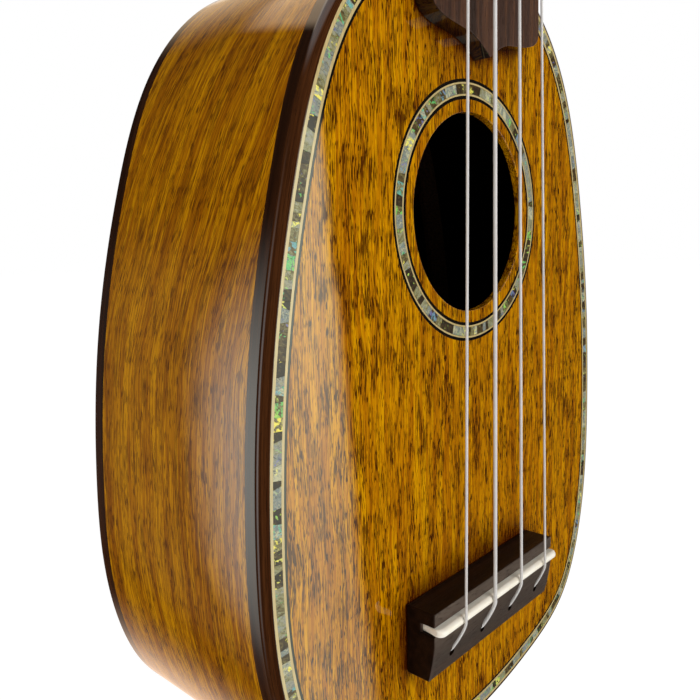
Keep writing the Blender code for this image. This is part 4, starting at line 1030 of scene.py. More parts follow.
def make_soundboard():
    """Soundboard with its eased soundhole edge, and its rosette rings."""
    ledge, rim = PURFLING_DEPTH + JOINT, BINDING_WIDTH + JOINT
    layers = [(PANEL_INSET, 0.0), (PANEL_INSET, ledge), (rim, ledge), (rim, TOP_THICKNESS)]
    edge = [[(x, depth, z) for x, z in inset_loop(inset)] for inset, depth in layers]
    channel_start = ROSETTE_LINES[0][1] - JOINT
    channel_end = ROSETTE_LINES[-1][1] + ROSETTE_LINES[-1][2] + JOINT
    floor = ROSETTE_DEPTH + JOINT
    steps = [(channel_end, 0.0), (channel_end, floor), (channel_start, floor), (channel_start, 0.0)]
    steps += [(HOLE_RADIUS + inset, drop) for inset, drop in corner_arc(HOLE_EDGE, 3)]
    bore = [circle(radius, depth) for radius, depth in steps + [(HOLE_RADIUS, TOP_THICKNESS)]]
    front_holes, back_holes = string_circles(0.0), string_circles(TOP_THICKNESS)
    regions = [[edge[0], bore[0]] + front_holes, [edge[-1], bore[-1]] + back_holes]
    plate = pierced(regions, [edge, bore] + [list(pair) for pair in zip(front_holes, back_holes)])
    piece = dress(mesh_object("top_plate", plate, weld=True), "koa_top koa_inside", "soundboard")
    paint(piece, lambda face: face.center.y > TOP_THICKNESS - 1e-5 and face.normal.y > 0.5)
    for name, radius, width, stuff, node in ROSETTE_LINES:
        outer = radius + width
        section = [(radius, 0.0), (outer, 0.0), (outer, ROSETTE_DEPTH), (radius, ROSETTE_DEPTH)]
        ring = stack([circle(*corner) for corner in section + section[:1]], capped=False)
        dress(mesh_object(name, ring, weld=True), stuff + "_line", node)


def make_back():
    """Flat back plate of two matched halves."""
    slab = prism(inset_loop(BINDING_WIDTH + JOINT), above_back(BACK_THICKNESS), above_back(0.0))
    piece = dress(mesh_object("back_wood", slab), "koa_back koa_inside", "back_plate")
    paint(piece, lambda face: face.normal.y < -0.5)


# Bridge, saddle, nut and strings

def make_bridge():
    """Bridge block with its saddle slot, falling back and string holes."""
    start, end = SADDLE_Z - BRIDGE_FLAT, BRIDGE_TAIL_Z
    drop = BRIDGE_HEIGHT - BRIDGE_BACK_HEIGHT
    fall = [
        (-BRIDGE_HEIGHT, start), (-BRIDGE_HEIGHT + drop / 6, start + (end - start) / 3),
        (-BRIDGE_BACK_HEIGHT - drop / 3, end + (start - end) / 6), (-BRIDGE_BACK_HEIGHT, end),
    ]
    low, high = SADDLE_Z + SADDLE_LOW - JOINT, SADDLE_Z + SADDLE_HIGH + JOINT
    floor = -SADDLE_FOOT + JOINT
    profile = [
        (-GAP, BRIDGE_TOP_Z), (-BRIDGE_HEIGHT, BRIDGE_TOP_Z), (-BRIDGE_HEIGHT, high), (floor, high),
        (floor, low), (-BRIDGE_HEIGHT, low), *[tuple(point) for point in bezier(fall, 12)],
        (-BRIDGE_BACK_HEIGHT, end), (-GAP, end),
    ]
    block = mesh_object("bridge_block", bar_along_x(profile, -BRIDGE_LENGTH / 2, BRIDGE_LENGTH / 2))
    soften(block, BRIDGE_BEVEL, segments=3)
    combine(block, "DIFFERENCE", [stack(pair) for pair in zip(string_circles(-0.02), string_circles(0.02))])
    dress(block, "bridge_wood bridge_edge", "bridge")
    # The top face takes the copy with painted sheen, the walls the copy with painted shade
    paint(block, lambda face: face.normal.y >= -0.6)


def make_saddle():
    """Bone saddle with a round crest; its ends turn down and lean in towards the foot."""
    half = (SADDLE_HIGH - SADDLE_LOW) / 2
    middle = SADDLE_Z + (SADDLE_HIGH + SADDLE_LOW) / 2
    reach = BRIDGE_LENGTH / 2 - SADDLE_END_INSET
    ends = []
    for lost, way in corner_arc(SADDLE_END_ROUND, 8):
        ends.append((way - reach, lost, 1 - (1 - SADDLE_END_SHARE) * lost / SADDLE_END_ROUND))
    row = ends + [(x / 12 * (reach - SADDLE_END_ROUND), 0.0, 1.0) for x in range(-11, 12)]
    row += [(-x, drop, share) for x, drop, share in ends[::-1]]
    loops = []
    for x, drop, share in row:
        slim = half * share
        foot_x = max(min(x, reach - SADDLE_END_LEAN), SADDLE_END_LEAN - reach)
        loop = [(foot_x, -SADDLE_FOOT, middle - slim * share), (foot_x, -SADDLE_FOOT, middle + slim * share)]
        for k in range(13):
            angle = pi * k / 12
            loop.append((x, drop - SADDLE_CREST + slim * (1 - sin(angle)), middle + slim * cos(angle)))
        loops.append(loop)
    dress(mesh_object("saddle_bone", stack(loops), smooth=50.0), "bone", "saddle")


def make_nut():
    """Bone nut with a rounded top and a slot for each string."""
    outer = NUT_WIDTH / 2
    left = [(-outer, -GAP)]
    left += [(drop - outer, inset - NUT_RISE) for inset, drop in corner_arc(NUT_CORNER, 4)]
    plan = list(left)
    for i, diameter in enumerate(STRINGS.values()):
        centre = NUT_SPACING * string_share(i)
        reach = diameter / 2 + NUT_SLOT_GAP
        plan.append((centre - reach - NUT_SLOT_EDGE, -NUT_RISE))
        for k in range(9):
            angle = pi * k / 8
            plan.append((centre - reach * cos(angle), reach * sin(angle) - STRING_HEIGHT_NUT))
        plan.append((centre + reach + NUT_SLOT_EDGE, -NUT_RISE))
    plan += [(-x, y) for x, y in left[::-1]]
    nut = mesh_object("nut_bone", stack([[(x, y, z) for x, y in plan] for z in (0.0, NUT_THICKNESS)]))
    dress(soften(nut, NUT_EDGE, angle=60.0), "bone", "nut")


def wrap_points(x_post, height, start, diameter):
    """A string's turns up its post to the mouth of the eye, in the headstock's frame."""
    radius = POST_WAIST_RADIUS + WRAP_CLEARANCE + diameter / 2
    side = -1 if x_post > 0 else 1
    away = Vector((start.x - x_post, start.z - height))
    first = atan2(away.y, away.x) + side * acos(radius / away.length)
    last = pi * round((first + side * 2 * pi * WRAP_TURNS) / pi)
    turns = abs(last - first) / (2 * pi)
    points = []
    for share in np.linspace(0.0, 1.0, int(turns * WRAP_STEPS) + 1):
        angle = first + (last - first) * share
        y = -EYE_HEIGHT + (diameter + WRAP_GAP) * turns * (1 - share)
        points.append(Vector((x_post + radius * cos(angle), y, height + radius * sin(angle))))
    return points


def make_string(index, name, diameter):
    """One string: knot, hole, saddle, nut slot and its turns round the post."""
    share = string_share(index)
    hole_x = STRING_HOLE_SPACING * share
    slope = (STRING_HEIGHT_SADDLE - STRING_HEIGHT_NUT) / SCALE_LENGTH
    leave_z = NUT_THICKNESS + GAP
    leave = Vector((NUT_SPACING * share, slope * leave_z - STRING_HEIGHT_NUT, leave_z))
    places = []
    for k in range(9):
        angle = pi * (k + 0.6) / 9.6
        swell = max(sin(angle) * 2 * KNOT_RADIUS / diameter, 1.0)
        places.append((Vector((hole_x, KNOT_Y + KNOT_RADIUS * (1 + cos(angle)), STRING_HOLE_Z)), swell))
    mouth = Vector((hole_x, STRING_MOUTH - BRIDGE_HEIGHT, STRING_HOLE_Z + STRING_ASIDE))
    crest = Vector((SADDLE_SPACING * share, -STRING_HEIGHT_SADDLE, SADDLE_Z))
    bend = [mouth, mouth - Vector((0.0, STRING_RISE, 0.0)), crest - Vector((0.0, 0.0, STRING_OVER)), crest]
    line = [Vector((hole_x, KNOT_Y, STRING_HOLE_Z))] + bezier(bend, 24) + [crest, leave]
    turns = wrap_points(*POST_PLACES[index], HEAD_TURN.inverted() @ leave, diameter)
    places += [(place, 1.0) for place in line + [HEAD_TURN @ point for point in turns]]
    curve = bpy.data.curves.new("string_line_" + name, "CURVE")
    curve.dimensions = "3D"
    curve.bevel_depth = diameter / 2
    curve.bevel_resolution = 5
    curve.use_fill_caps = True
    spline = curve.splines.new("POLY")
    spline.points.add(len(places) - 1)
    for point, (place, swell) in zip(spline.points, places):
        point.co = (*place, 1.0)
        point.radius = swell
    made = linked(curve.name, curve)
    made.visible_glossy = False
    dress(made, "nylon", "string_" + name)


# Neck and headstock

def board_half_width(z):
    """Half the fretboard's width at a height."""
    return (NUT_WIDTH + z / (FRETBOARD_TIP + OGEE_FALL) * (FRETBOARD_WIDTH_END - NUT_WIDTH)) / 2


def neck_section(z, depth, squareness=NECK_ROUNDNESS, heel=0.0):
    """A row of points round the neck's underside, from its left edge to its right edge."""
    half_width = board_half_width(min(z, 0.0))
    row = []
    for k in range(NECK_SIDES + 1):
        angle = pi * (1 - k / NECK_SIDES)
        round_share = max(sin(angle), 0.0)
        side = copysign(abs(cos(angle)) ** squareness, cos(angle))
        taper = side * (HEEL_TIP_SHARE + (1 - HEEL_TIP_SHARE) * (1 - sin(angle)))
        full = min(1.0, HEEL_FULLNESS * round_share)
        x = (1 - heel) * side + heel * taper
        y = (1 - heel) * round_share ** squareness + heel * full
        row.append((half_width * x, depth * y, z))
    return row


def neck_loops():
    """Sections of the neck from the nut to the heel's end inside the body outline."""
    loops = []
    for z in np.linspace(NUT_THICKNESS, -NECK_BLEND, 15):
        squareness = float(np.interp(-z, (-NUT_THICKNESS, 0.0, 0.008, NECK_BLEND), (0.30, 0.45, 0.75, 0.95)))
        depth = float(np.interp(-z, (0.0, NECK_BLEND), (HEAD_BACK / cos(HEAD_TILT), NECK_DEPTH_NUT)))
        loops.append(neck_section(float(z), depth, squareness))
    heel_start = BODY_TOP + HEEL_LENGTH
    for z in np.linspace(-NECK_BLEND, heel_start, 14)[1:-1]:
        share = (z + NECK_BLEND) / (heel_start + NECK_BLEND)
        loops.append(neck_section(float(z), NECK_DEPTH_NUT + share * (NECK_DEPTH_BODY - NECK_DEPTH_NUT)))
    deepest = DEPTH_NECK_END - GAP
    for k in range(HEEL_STEPS + 1):
        angle = pi / 2 * k / HEEL_STEPS
        depth = NECK_DEPTH_BODY + (deepest - NECK_DEPTH_BODY) * (1 - cos(angle))
        loops.append(neck_section(heel_start - HEEL_LENGTH * sin(angle), depth, heel=sin(angle) ** 2))
    return loops + [neck_section(BODY_TOP - 0.004, deepest, heel=1.0)]


def head_plan():
    """Outline of the headstock as (x, height above the nut), smooth along its sides."""
    knots = [Vector((x * HEAD_WIDTH / 2, rise * HEAD_LENGTH)) for x, rise in HEAD_SIDE]
    right = []
    padded = [knots[0]] + knots + [knots[-1]]
    for before, a, b, after in zip(padded, padded[1:], padded[2:], padded[3:]):
        slope_a, slope_b = (b - before) / 2, (after - a) / 2
        for step in range(8):
            t = step / 8
            weights = (2 * t**3 - 3 * t * t + 1, t**3 - 2 * t * t + t, 3 * t * t - 2 * t**3, t**3 - t * t)
            ease_a, lift_a, ease_b, lift_b = weights
            right.append(tuple(a * ease_a + slope_a * lift_a + b * ease_b + slope_b * lift_b))
    right += [(x * HEAD_WIDTH / 2, rise * HEAD_LENGTH) for x, rise in HEAD_CROWN]
    return right + [(-x, z) for x, z in right[-2::-1]]


def post_bores(clearance):
    """Rods that cut the four post holes through the headstock."""
    radius = POST_RADIUS + clearance
    return [turned([(radius, -0.02), (radius, HEAD_BACK + 0.02)], 32, place) for place in POST_PLACES]


def make_neck():
    """Neck with heel and headstock, its foot inside the body, and the headstock's face."""
    neck = mesh_object("neck_wood", stack(neck_loops()))
    combine(neck, "DIFFERENCE", [prism(inset_loop(-0.0001), level(-0.02), level(0.09))])
    root = NUT_WIDTH / 2 - GAP
    plan = [(root, HEAD_ROOT_Z)] + head_plan() + [(-root, HEAD_ROOT_Z)]
    block = prism(plan, level(VENEER_THICKNESS + JOINT), level(HEAD_BACK))
    head = soften(mesh_object("cutter", block, HEAD_TURN), HEAD_EDGE, segments=3)
    combine_objects(neck, "UNION", [head])
    combine(neck, "DIFFERENCE", post_bores(HEAD_HOLE_GAP), HEAD_TURN)
    dress(neck, "mahogany", "neck")
    half = TONGUE_WIDTH / 2
    right = [
        (half, BODY_TOP), (half, FOOT_TOP), (2 * half, FOOT_TOP),
        (4 * half, FOOT_CORNER), (4 * half, FOOT_BOTTOM),
    ]
    plan = [(-half, BODY_TOP)] + right + [(-x, z) for x, z in right[:0:-1]]
    foot = prism(plan, level(FRONT_BINDING_HEIGHT + GAP), above_back(BACK_BINDING_HEIGHT + GAP))
    dress(mesh_object("neck_foot", foot), "mahogany")
    slab = rounded_slab(head_plan(), 0.0, VENEER_THICKNESS - JOINT, VENEER_EDGE)
    face = mesh_object("head_veneer", slab, HEAD_TURN)
    combine(face, "DIFFERENCE", post_bores(VENEER_HOLE_GAP), HEAD_TURN)
    dress(face, "face_wood", "headstock_face")


# Fretboard and frets

def fret_place(number):
    """Height of a fret, by equal temperament."""
    return -SCALE_LENGTH * (1 - 2 ** (-number / 12))


def make_fret(number):
    """One fret with its tang, its crown falling at the ends."""
    z = fret_place(number)
    reach = board_half_width(z) - FRET_SHORT
    half = FRET_WIDTH / 2
    deep = FRETBOARD_TOP - FRET_TANG_DEPTH
    ends = [(way - reach, lost) for way, lost in FRET_ENDS]
    loops = []
    for x, lost in ends + [(-x, lost) for x, lost in ends[::-1]]:
        profile = [(deep, -FRET_TANG), (deep, FRET_TANG)]
        profile += [(0.0, FRET_TANG), (0.0, half)]
        for k in range(1, 12):
            angle = pi * k / 12
            profile.append((-(1 - lost) * FRET_HEIGHT * sin(angle), half * cos(angle)))
        profile += [(0.0, -half), (0.0, -FRET_TANG)]
        loops.append([(x, y - FRETBOARD_TOP, z + away) for y, away in profile])
    wire = mesh_object("fret_wire_%02d" % number, stack(loops), smooth=45.0)
    dress(wire, "nickel", "fret_%02d" % number)


def make_fretboard():
    """Tapered fretboard with an ogee end, dots and smooth frets."""
    shoulder = FRETBOARD_TIP + OGEE_FALL
    half = board_half_width(shoulder)
    points = [(x * half, FRETBOARD_TIP + rise * OGEE_FALL) for x, rise in OGEE]
    right = [tuple(point) for point in bezier(points, 20)] + [(half, shoulder)]
    plan = right + [(NUT_WIDTH / 2, -JOINT), (-NUT_WIDTH / 2, -JOINT)] + [(-x, z) for x, z in right[:0:-1]]
    board = mesh_object("fingerboard", rounded_slab(plan, -FRETBOARD_TOP, -GAP / 3, FRETBOARD_EDGE))
    slots = []
    for z in [fret_place(number) for number in FRETS]:
        low, high = z - FRET_SLOT, z + FRET_SLOT
        section = [(-0.02, low), (-0.02, high), (-FRET_SLOT_DEPTH, high), (-FRET_SLOT_DEPTH, low)]
        slots.append(bar_along_x(section, -NUT_WIDTH, NUT_WIDTH))
    combine(board, "DIFFERENCE", slots)
    dress(board, "board_wood board_edge", "fretboard")
    paint(board, lambda face: face.normal.y >= -0.6)
    for number in FRETS:
        make_fret(number)
    for number in POSITION_DOTS:
        z = (fret_place(number) + fret_place(number - 1)) / 2
        faces = [DOT_DEPTH - FRETBOARD_TOP, -DOT_RISE - FRETBOARD_TOP]
        disc = turned([(DOT_RADIUS, y) for y in faces], 32, (0.0, z))
        dress(mesh_object("position_dot_%02d" % number, disc), "pearl")


# Tuners, each in its own frame: X along the worm, Y away from the headstock's back, Z to the tip

def worm_mesh(side):
    """A worm cut on its shaft, which runs out to the button."""
    crest, root = WORM_PITCH_RADIUS + WORM_ADDENDUM, WORM_PITCH_RADIUS - WORM_DEDENDUM
    groove = (1 - TOOTH_SHARE) / 2 * WORM_LEAD
    wide, narrow = groove + WORM_ADDENDUM * FLANK, groove - WORM_DEDENDUM * FLANK
    limit = WORM_LENGTH / 2
    turns = int(WORM_LENGTH / WORM_LEAD / 2) + 2
    inner, outer = -EAR_START - EAR_THICKNESS - GAP, SHAFT_REACH
    tip = JOURNAL_RADIUS - JOURNAL_EDGE
    # Rings as (place, radius, whether the ring climbs with the thread)
    rings = [(inner, tip, False)]
    rings += [(place, JOURNAL_RADIUS, False) for place in (inner + JOURNAL_EDGE, -limit)]
    for turn in range(-turns, turns + 1):
        for way, radius in ((-wide, crest), (-narrow, root), (narrow, root), (wide, crest)):
            rings.append((turn * WORM_LEAD + way, radius, True))
    rings += [(place, JOURNAL_RADIUS, False) for place in (limit, outer - JOURNAL_EDGE)]
    rings.append((outer, tip, False))
    # Each ring has one seam column more than its sides
    verts = []
    for place, ring_radius, climbs in rings:
        for k in range(WORM_SIDES + 1):
            along, radius = place, ring_radius
            if climbs:
                along += k / WORM_SIDES * WORM_LEAD
                if abs(along) >= limit:
                    along, radius = copysign(limit, along), root
            angle = 2 * pi * k / WORM_SIDES
            verts.append((side * along, radius * sin(angle), radius * cos(angle)))
    count = WORM_SIDES + 1
    faces = [tuple(range(WORM_SIDES)), tuple(len(verts) - count + k for k in range(WORM_SIDES))]
    for row in range(len(rings) - 1):
        for first in range(row * count, row * count + WORM_SIDES):
            faces.append((first, first + 1, first + count + 1, first + count))
    return verts, faces


def gear_mesh(side):
    """The gear, its teeth twisted to the worm's lead."""
    twist = WORM_LEAD / (2 * pi * WORM_PITCH_RADIUS) / GEAR_PITCH_RADIUS
    tip, root = GEAR_PITCH_RADIUS + GEAR_ADDENDUM, GEAR_PITCH_RADIUS - GEAR_DEDENDUM
    tooth = TOOTH_SHARE * WORM_LEAD / 2
    tip_half = (tooth - GEAR_ADDENDUM * FLANK) / tip
    root_half = (tooth + GEAR_DEDENDUM * FLANK) / root
    corners = ((root, -root_half), (tip, -tip_half), (tip, tip_half), (root, root_half))
    loops = []
    for offset in np.linspace(-GEAR_THICKNESS / 2, GEAR_THICKNESS / 2, 5):
        loop = []
        for middle in round_angles(GEAR_TEETH):
            for radius, swing in corners:
                angle = middle + float(offset) * twist + swing
                loop.append((side * radius * sin(angle), WORM_HEIGHT + float(offset), -radius * cos(angle)))
        loops.append(loop)
    return stack(loops)


def make_screw(name, matrix, z, body, head, slots, slot_floor, sides):
    """A screw with a domed head of (radius, y) points and slots of (half width, half height)."""
    low, top = head[0][1], head[-1][1]
    profile = arc_profile([(CENTRE, low), *head, (CENTRE, top)], SCREW_ROUND)
    screw = mesh_object(name, turned(profile, sides, (0.0, z)), matrix, METAL_SMOOTH)
    cuts = []
    for x, reach in slots:
        plan = [(-x, z - reach), (x, z - reach), (x, z + reach), (-x, z + reach)]
        cuts.append(prism(plan, level(slot_floor), level(low + 0.01)))
    combine(screw, "DIFFERENCE", cuts, matrix, METAL_SMOOTH)
    dress(screw, "nickel", None, body)


def make_post(number, matrix, side):
    """String post, gear and the gear's screw."""
    body = "post_%d" % number
    face = -HEAD_BACK
    low, high, tip = face - POST_WAIST_LOW, face - POST_WAIST_HIGH, face - POST_HEIGHT
    profile = [
        (CENTRE, PLATE_BACK + GAP), (POST_RADIUS, PLATE_BACK + GAP), (POST_RADIUS, low + POST_SHOULDER),
        (POST_WAIST_RADIUS, low), (POST_WAIST_RADIUS, high), (POST_CAP_RADIUS, high - POST_SHOULDER),
        (POST_CAP_RADIUS, tip), (CENTRE, tip),
    ]
    shaft = turned(arc_profile(profile, POST_ROUND), 48)
    post = mesh_object("post_%d_shaft" % number, shaft, matrix, METAL_SMOOTH)
    combine(post, "DIFFERENCE", [rod(EYE_RADIUS, face - EYE_HEIGHT, 0.0, 0.01, 20)], matrix, METAL_SMOOTH)
    dress(post, "nickel", "tuner_%d_post" % number, body)
    gear = soften(mesh_object("post_%d_gear" % number, gear_mesh(side), matrix), 0.00008, angle=METAL_SMOOTH)
    dress(gear, "brass", None, body)
    head = [(0.0020, GEAR_BACK + 0.0001), (0.0020, GEAR_BACK + 0.0007), (0.0013, GEAR_BACK + 0.0012)]
    slots = [(0.003, 0.0002)]
    make_screw("post_%d_screw" % number, matrix, 0.0, body, head, slots, GEAR_BACK + 0.0007, 32)


def rounded_plan(right, low, high, corner, steps=6):
    """A rectangle with round corners as (x, z), even about the middle."""
    plan = []
    for turn, (x, z) in enumerate(((right, high), (-right, high), (-right, low), (right, low))):
        centre_x = x - corner if turn in (0, 3) else x + corner
        centre_z = z - corner if turn in (0, 1) else z + corner
        for k in range(steps + 1):
            angle = pi / 2 * (turn + k / steps)
            plan.append((centre_x + corner * cos(angle), centre_z + corner * sin(angle)))
    return plan


def make_plate(number, matrix):
    """Base plate, the two ears that carry the worm, and the two wood screws."""
    high = GEAR_PITCH_RADIUS + GEAR_ADDENDUM + PLATE_TAB
    low = -AXLE_DISTANCE - EAR_WIDTH / 2 - PLATE_TAB
    slab = rounded_slab(rounded_plan(PLATE_WIDTH / 2, low, high, PLATE_CORNER), GAP, PLATE_BACK, 0.0002)
    plate = mesh_object("tuner_%d_base" % number, slab, matrix)
    reach, foot = EAR_WIDTH / 2, GAP + PLATE_THICKNESS / 2
    ear = [(foot, -AXLE_DISTANCE - reach), (WORM_HEIGHT, -AXLE_DISTANCE - reach)]
    for k in range(1, 16):
        angle = pi * k / 16
        ear.append((WORM_HEIGHT + reach * sin(angle), -AXLE_DISTANCE - reach * cos(angle)))
    ear += [(WORM_HEIGHT, -AXLE_DISTANCE + reach), (foot, -AXLE_DISTANCE + reach)]
    starts = (EAR_START, -EAR_START - EAR_THICKNESS)
    combine(plate, "UNION", [bar_along_x(ear, start, start + EAR_THICKNESS) for start in starts], matrix)
    hole = POST_RADIUS + RUN_GAP
    bores = [
        rod(JOURNAL_RADIUS + RUN_GAP, WORM_HEIGHT, -AXLE_DISTANCE, 0.02, 32),
        turned([(hole, -0.01), (hole, PLATE_BACK + GAP)], 32),
    ]
    combine(plate, "DIFFERENCE", bores, matrix)
    dress(soften(plate, 0.00012, angle=50.0), "nickel", "tuner_%d_plate" % number)
    head = [(0.0016, PLATE_BACK + 0.00005), (0.0016, PLATE_BACK + 0.0003), (0.0009, PLATE_BACK + 0.00075)]
    slots = [(0.0010, 0.00014), (0.00014, 0.0010)]
    for k, z in enumerate((high - PLATE_TAB / 2, low + PLATE_TAB / 2), start=1):
        name = "tuner_%d_screw_%d" % (number, k)
        make_screw(name, matrix, z, "instrument", head, slots, PLATE_BACK + 0.0004, 28)


def make_button(number, matrix, side):
    """Oval pearly button on the end of the worm's shaft."""
    rings = []
    for k in range(BUTTON_RINGS):
        angle = pi * (k + 0.35) / (BUTTON_RINGS - 0.3)
        along = BUTTON_START + BUTTON_LENGTH / 2 * (1 - cos(angle))
        swell = sin(angle) ** 0.7
        width = BUTTON_WIDTH / 2 * swell
        thick = BUTTON_THICKNESS / 2 * min(1.0, swell * 1.1)
        rings.append([(side * along, thick * cos(a), width * sin(a)) for a in round_angles(48)])
    body = "key_%d" % number
    button = mesh_object(body + "_button", stack(rings), matrix, 60.0)
    dress(button, "pearl", "tuner_%d_button" % number, body)
    worm = mesh_object(body + "_worm", worm_mesh(side), matrix, weld=True)
    dress(worm, "nickel", "tuner_%d_worm" % number, body)


def make_tuners():
    """Four machines and the collars that guide their posts."""
    inner, middle = POST_RADIUS + BUSHING_GAP, VENEER_THICKNESS / 2
    profile = arc_profile([
        (inner, middle), (inner, -BUSHING_HEIGHT), (BUSHING_RADIUS - 0.0004, -BUSHING_HEIGHT),
        (BUSHING_RADIUS, -0.0002), (BUSHING_RADIUS, middle),
    ], BUSHING_ROUND)
    for number, (x, height) in enumerate(POST_PLACES, start=1):
        side = 1 if x > 0 else -1
        matrix = HEAD_TURN @ Matrix.Translation((x, HEAD_BACK, height))
        make_plate(number, matrix)
        make_post(number, matrix, side)
        make_button(number, matrix @ Matrix.Translation((0.0, WORM_HEIGHT, -AXLE_DISTANCE)), side)
        loops = [circle(radius, y, (x, height), 48) for radius, y in profile + profile[:1]]
        ring = stack(loops, capped=False)
        dress(mesh_object("collar_%d" % number, ring, HEAD_TURN, weld=True), "nickel")


# Stage

def make_camera():
    """Camera at the photograph's place and angle."""
    data = bpy.data.cameras.new("camera")
    data.sensor_width = SENSOR_WIDTH
    data.lens = SENSOR_WIDTH * FOCAL_PIXELS / IMAGE_SIZE
    data.clip_start = 0.005
    data.clip_end = 50.0
    camera = linked("camera", data)
    turn = Matrix.Rotation(radians(-CAMERA_YAW), 4, "Z")
    tilt = Matrix.Rotation(radians(90.0 + CAMERA_PITCH), 4, "X")
    roll = Matrix.Rotation(radians(CAMERA_ROLL), 4, "Z")
    camera.matrix_world = Matrix.Translation(CAMERA_PLACE) @ turn @ tilt @ roll
    bpy.context.scene.camera = camera


def make_world():
    """Pale studio: white to the camera, and soft boxes and dark gaps to whatever reflects it.

    Directions are in degrees: turn is 0 on the player's side and 90 on the treble side, behind is 0 at the
    back and grows to the bass side, and rise is the height above the level.
    """
    world = bpy.data.worlds.new("studio")
    world.use_nodes = True
    nodes = Nodes(world.node_tree)
    faded, window, least, most = nodes.faded, nodes.window, nodes.least, nodes.most
    x, y, z = nodes.parts(nodes.add("TexCoord").outputs["Generated"])
    turn = nodes.math("ARCTAN2", x, y * -1.0) * degrees(1.0)
    behind = nodes.math("ARCTAN2", x * -1.0, y) * degrees(1.0)
    rise = nodes.math("ARCSINE", z) * degrees(1.0)

    # The box that the soundboard reflects, with a slanting edge
    edge = rise * -0.05 + 46.0 + faded(rise, -1.0, -8.0) * 0.35 + most(-26.0 - rise, 0.0) * 0.09
    blur = least(rise, 0.0) * -0.03 + 0.9
    front = nodes.ease(nodes.math("ADD", (edge - turn) / blur, 0.5, clamp=True))
    front = front * least(most(rise * 0.022 + 1.15, 0.5), 1.0) * (faded(turn, 46.6, 44.4) * 0.35 + 1.0)
    front = front * faded(turn, 33.0, 35.0) * faded(rise, 15.0, 8.0) * faded(rise, -66.0, -60.0)

    # The boxes that the bass side and the binding reflect
    deep = least(rise + 10.0, 0.0)
    ending = faded(turn, -137.4, -138.2)
    left = faded(turn + deep * deep * 0.005, -145.4, -140.2) * ending
    left = left * faded(rise, 22.0, -8.0) * faded(rise, -48.0, -10.0)
    tail = faded(turn, -157.0, -148.0) * ending * faded(rise, 20.0, 6.0)
    streak = window(turn, -114.0, -86.0, 7.0) * faded(rise, 38.0, -6.0) * faded(rise, -50.0, -10.0)
    above = nodes.math("DIVIDE", rise - (most(behind, 0.0) * 0.3 + 41.6), 3.6, clamp=True)
    above = nodes.ease(above) * window(behind, -60.0, 45.0, 10.0)
    corner = faded(behind, 2.0, -28.0) * faded(behind, -70.0, -55.0) * faded(rise, 20.0, 28.0)
    below = faded(behind, 22.0, -8.0) * faded(behind, -80.0, -54.0) * faded(rise, -30.0, -36.0)

    # The boxes that only the other sides see
    right = window(turn, 76.0, 150.0, 8.0) * window(rise, -35.0, 65.0, 8.0)
    ceiling = faded(rise, 47.0, 60.0)
    ground = faded(rise, -50.0, -60.0)
    boxes = [
        (front, (2.55, 2.75, 2.30)), (left, (2.30, 2.46, 2.30)), (tail, (0.08, 0.08, 0.08)),
        (streak, (2.2, 2.2, 2.2)), (above, (1.60, 1.20, 0.80)), (corner, (1.00, 0.72, 0.45)),
        (below, (1.30, 0.95, 0.72)), (right, (0.8, 0.8, 0.8)), (ceiling, (1.2, 1.2, 1.2)),
        (ground, (0.6, 0.6, 0.6)),
    ]
    rays = nodes.add("LightPath").outputs
    seen = most(rays["Is Camera Ray"], rays["Is Transmission Ray"])
    mirrored = (1.0 - seen) * rays["Is Glossy Ray"]
    fill = faded(rise, 0.0, 55.0) * -STUDIO_FALL + STUDIO_FILL
    light = seen + (1.0 - seen - mirrored) * fill
    colour = nodes.add("CombineColor")
    for channel, socket in enumerate(colour.inputs):
        glossy = boxes[0][0] * boxes[0][1][channel] + STUDIO_DARK
        for box, powers in boxes[1:]:
            glossy = glossy + box * powers[channel]
        nodes.feed(socket, light + mirrored * glossy)
    background = world.node_tree.nodes["Background"].inputs
    nodes.feed(background["Color"], colour.outputs[0])
    nodes.feed(background["Strength"], 1.0)
    bpy.context.scene.world = world


def make_lamp(name, place, target, size, power):
    """A large soft lamp that doesn't show in reflections."""
    data = bpy.data.lights.new(name, "AREA")
    data.shape = "DISK"
    data.size = size
    data.energy = power
    lamp = linked(name, data)
    lamp.location = place
    lamp.rotation_mode = "QUATERNION"
    lamp.rotation_quaternion = (Vector(target) - Vector(place)).to_track_quat("-Z", "Y")
    lamp.visible_glossy = False


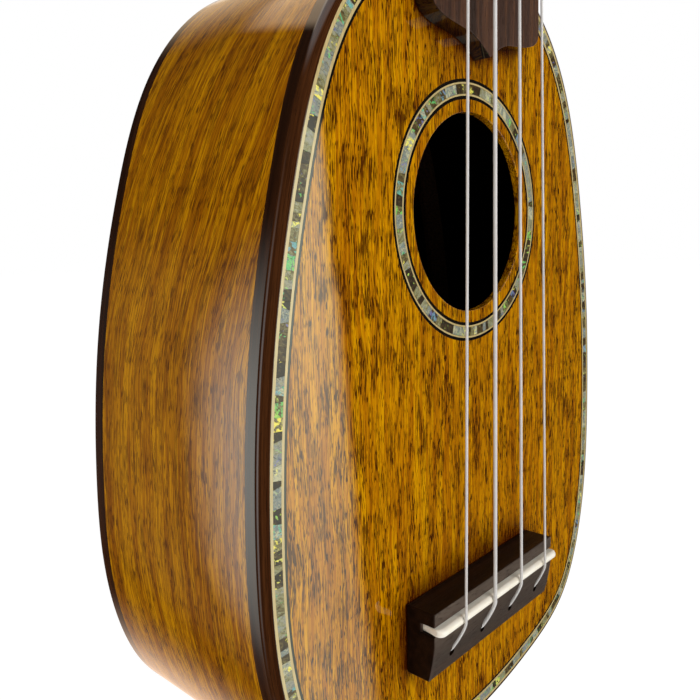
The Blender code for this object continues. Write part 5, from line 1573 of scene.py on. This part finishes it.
def make_floor():
    """White floor just under the tail, which keeps the instrument's shadow."""
    made = bpy.data.materials.new("floor_white")
    made.use_nodes = True
    nodes = Nodes(made.node_tree)
    shader = made.node_tree.nodes["Principled BSDF"]
    shader.inputs["Base Color"].default_value = (0.86, 0.86, 0.86, 1.0)
    shader.inputs["Roughness"].default_value = 0.9
    shader.inputs["Specular IOR Level"].default_value = 0.0
    glow = nodes.add("Emission", None, {"Strength": FLOOR_WHITE})
    rays = nodes.add("LightPath").outputs
    seen = nodes.most(nodes.most(rays["Is Camera Ray"], rays["Is Glossy Ray"]), rays["Is Transmission Ray"])
    share = nodes.most(seen * FLOOR_SEEN, FLOOR_GLOW)
    mix = nodes.add("MixShader", None, {0: share, 1: shader.outputs[0], 2: glow.outputs[0]})
    nodes.feed(made.node_tree.nodes["Material Output"].inputs["Surface"], mix.outputs[0])
    mesh = bpy.data.meshes.new("floor")
    corners = ((-1, -1), (1, -1), (1, 1), (-1, 1))
    z = BODY_TAIL - FLOOR_DROP
    mesh.from_pydata([(x * FLOOR_REACH, y * FLOOR_REACH, z) for x, y in corners], [], [(0, 1, 2, 3)])
    mesh.materials.append(made)
    floor = linked("floor", mesh)
    floor.visible_glossy = False


def dress_inner_nodes():
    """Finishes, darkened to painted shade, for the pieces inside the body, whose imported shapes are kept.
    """
    finishes = {"lining_": "spruce", "brace_": "spruce", "back_brace_": "spruce"}
    finishes.update({"tail_block": "block", "bridge_plate": "block"})
    for name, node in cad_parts.items():
        for start, finish in finishes.items():
            if name.startswith(start):
                for slot in node.material_slots:
                    slot.material = FINISHES[finish]


FINISHES = make_finishes()
make_sides()
make_bindings()
shell_tiles("edge_shell", "purfling_abalone", 2 * HALF_ROUND, edge_place, PURFLING_DEPTH)
ring_length = 2 * pi * (ROSETTE_SHELL_RADIUS + SHELL_WIDTH / 2)
shell_tiles("rosette_shell", "rosette_abalone", ring_length, rosette_place, ROSETTE_DEPTH)
make_soundboard()
make_back()
make_bridge()
make_saddle()
make_nut()
make_neck()
make_fretboard()
make_tuners()
for index, (name, diameter) in enumerate(STRINGS.items()):
    make_string(index, name, diameter)
dress_inner_nodes()
make_camera()
make_world()
make_floor()
for lamp in LAMPS:
    make_lamp(*lamp)
bpy.context.scene.view_settings.view_transform = "Standard"
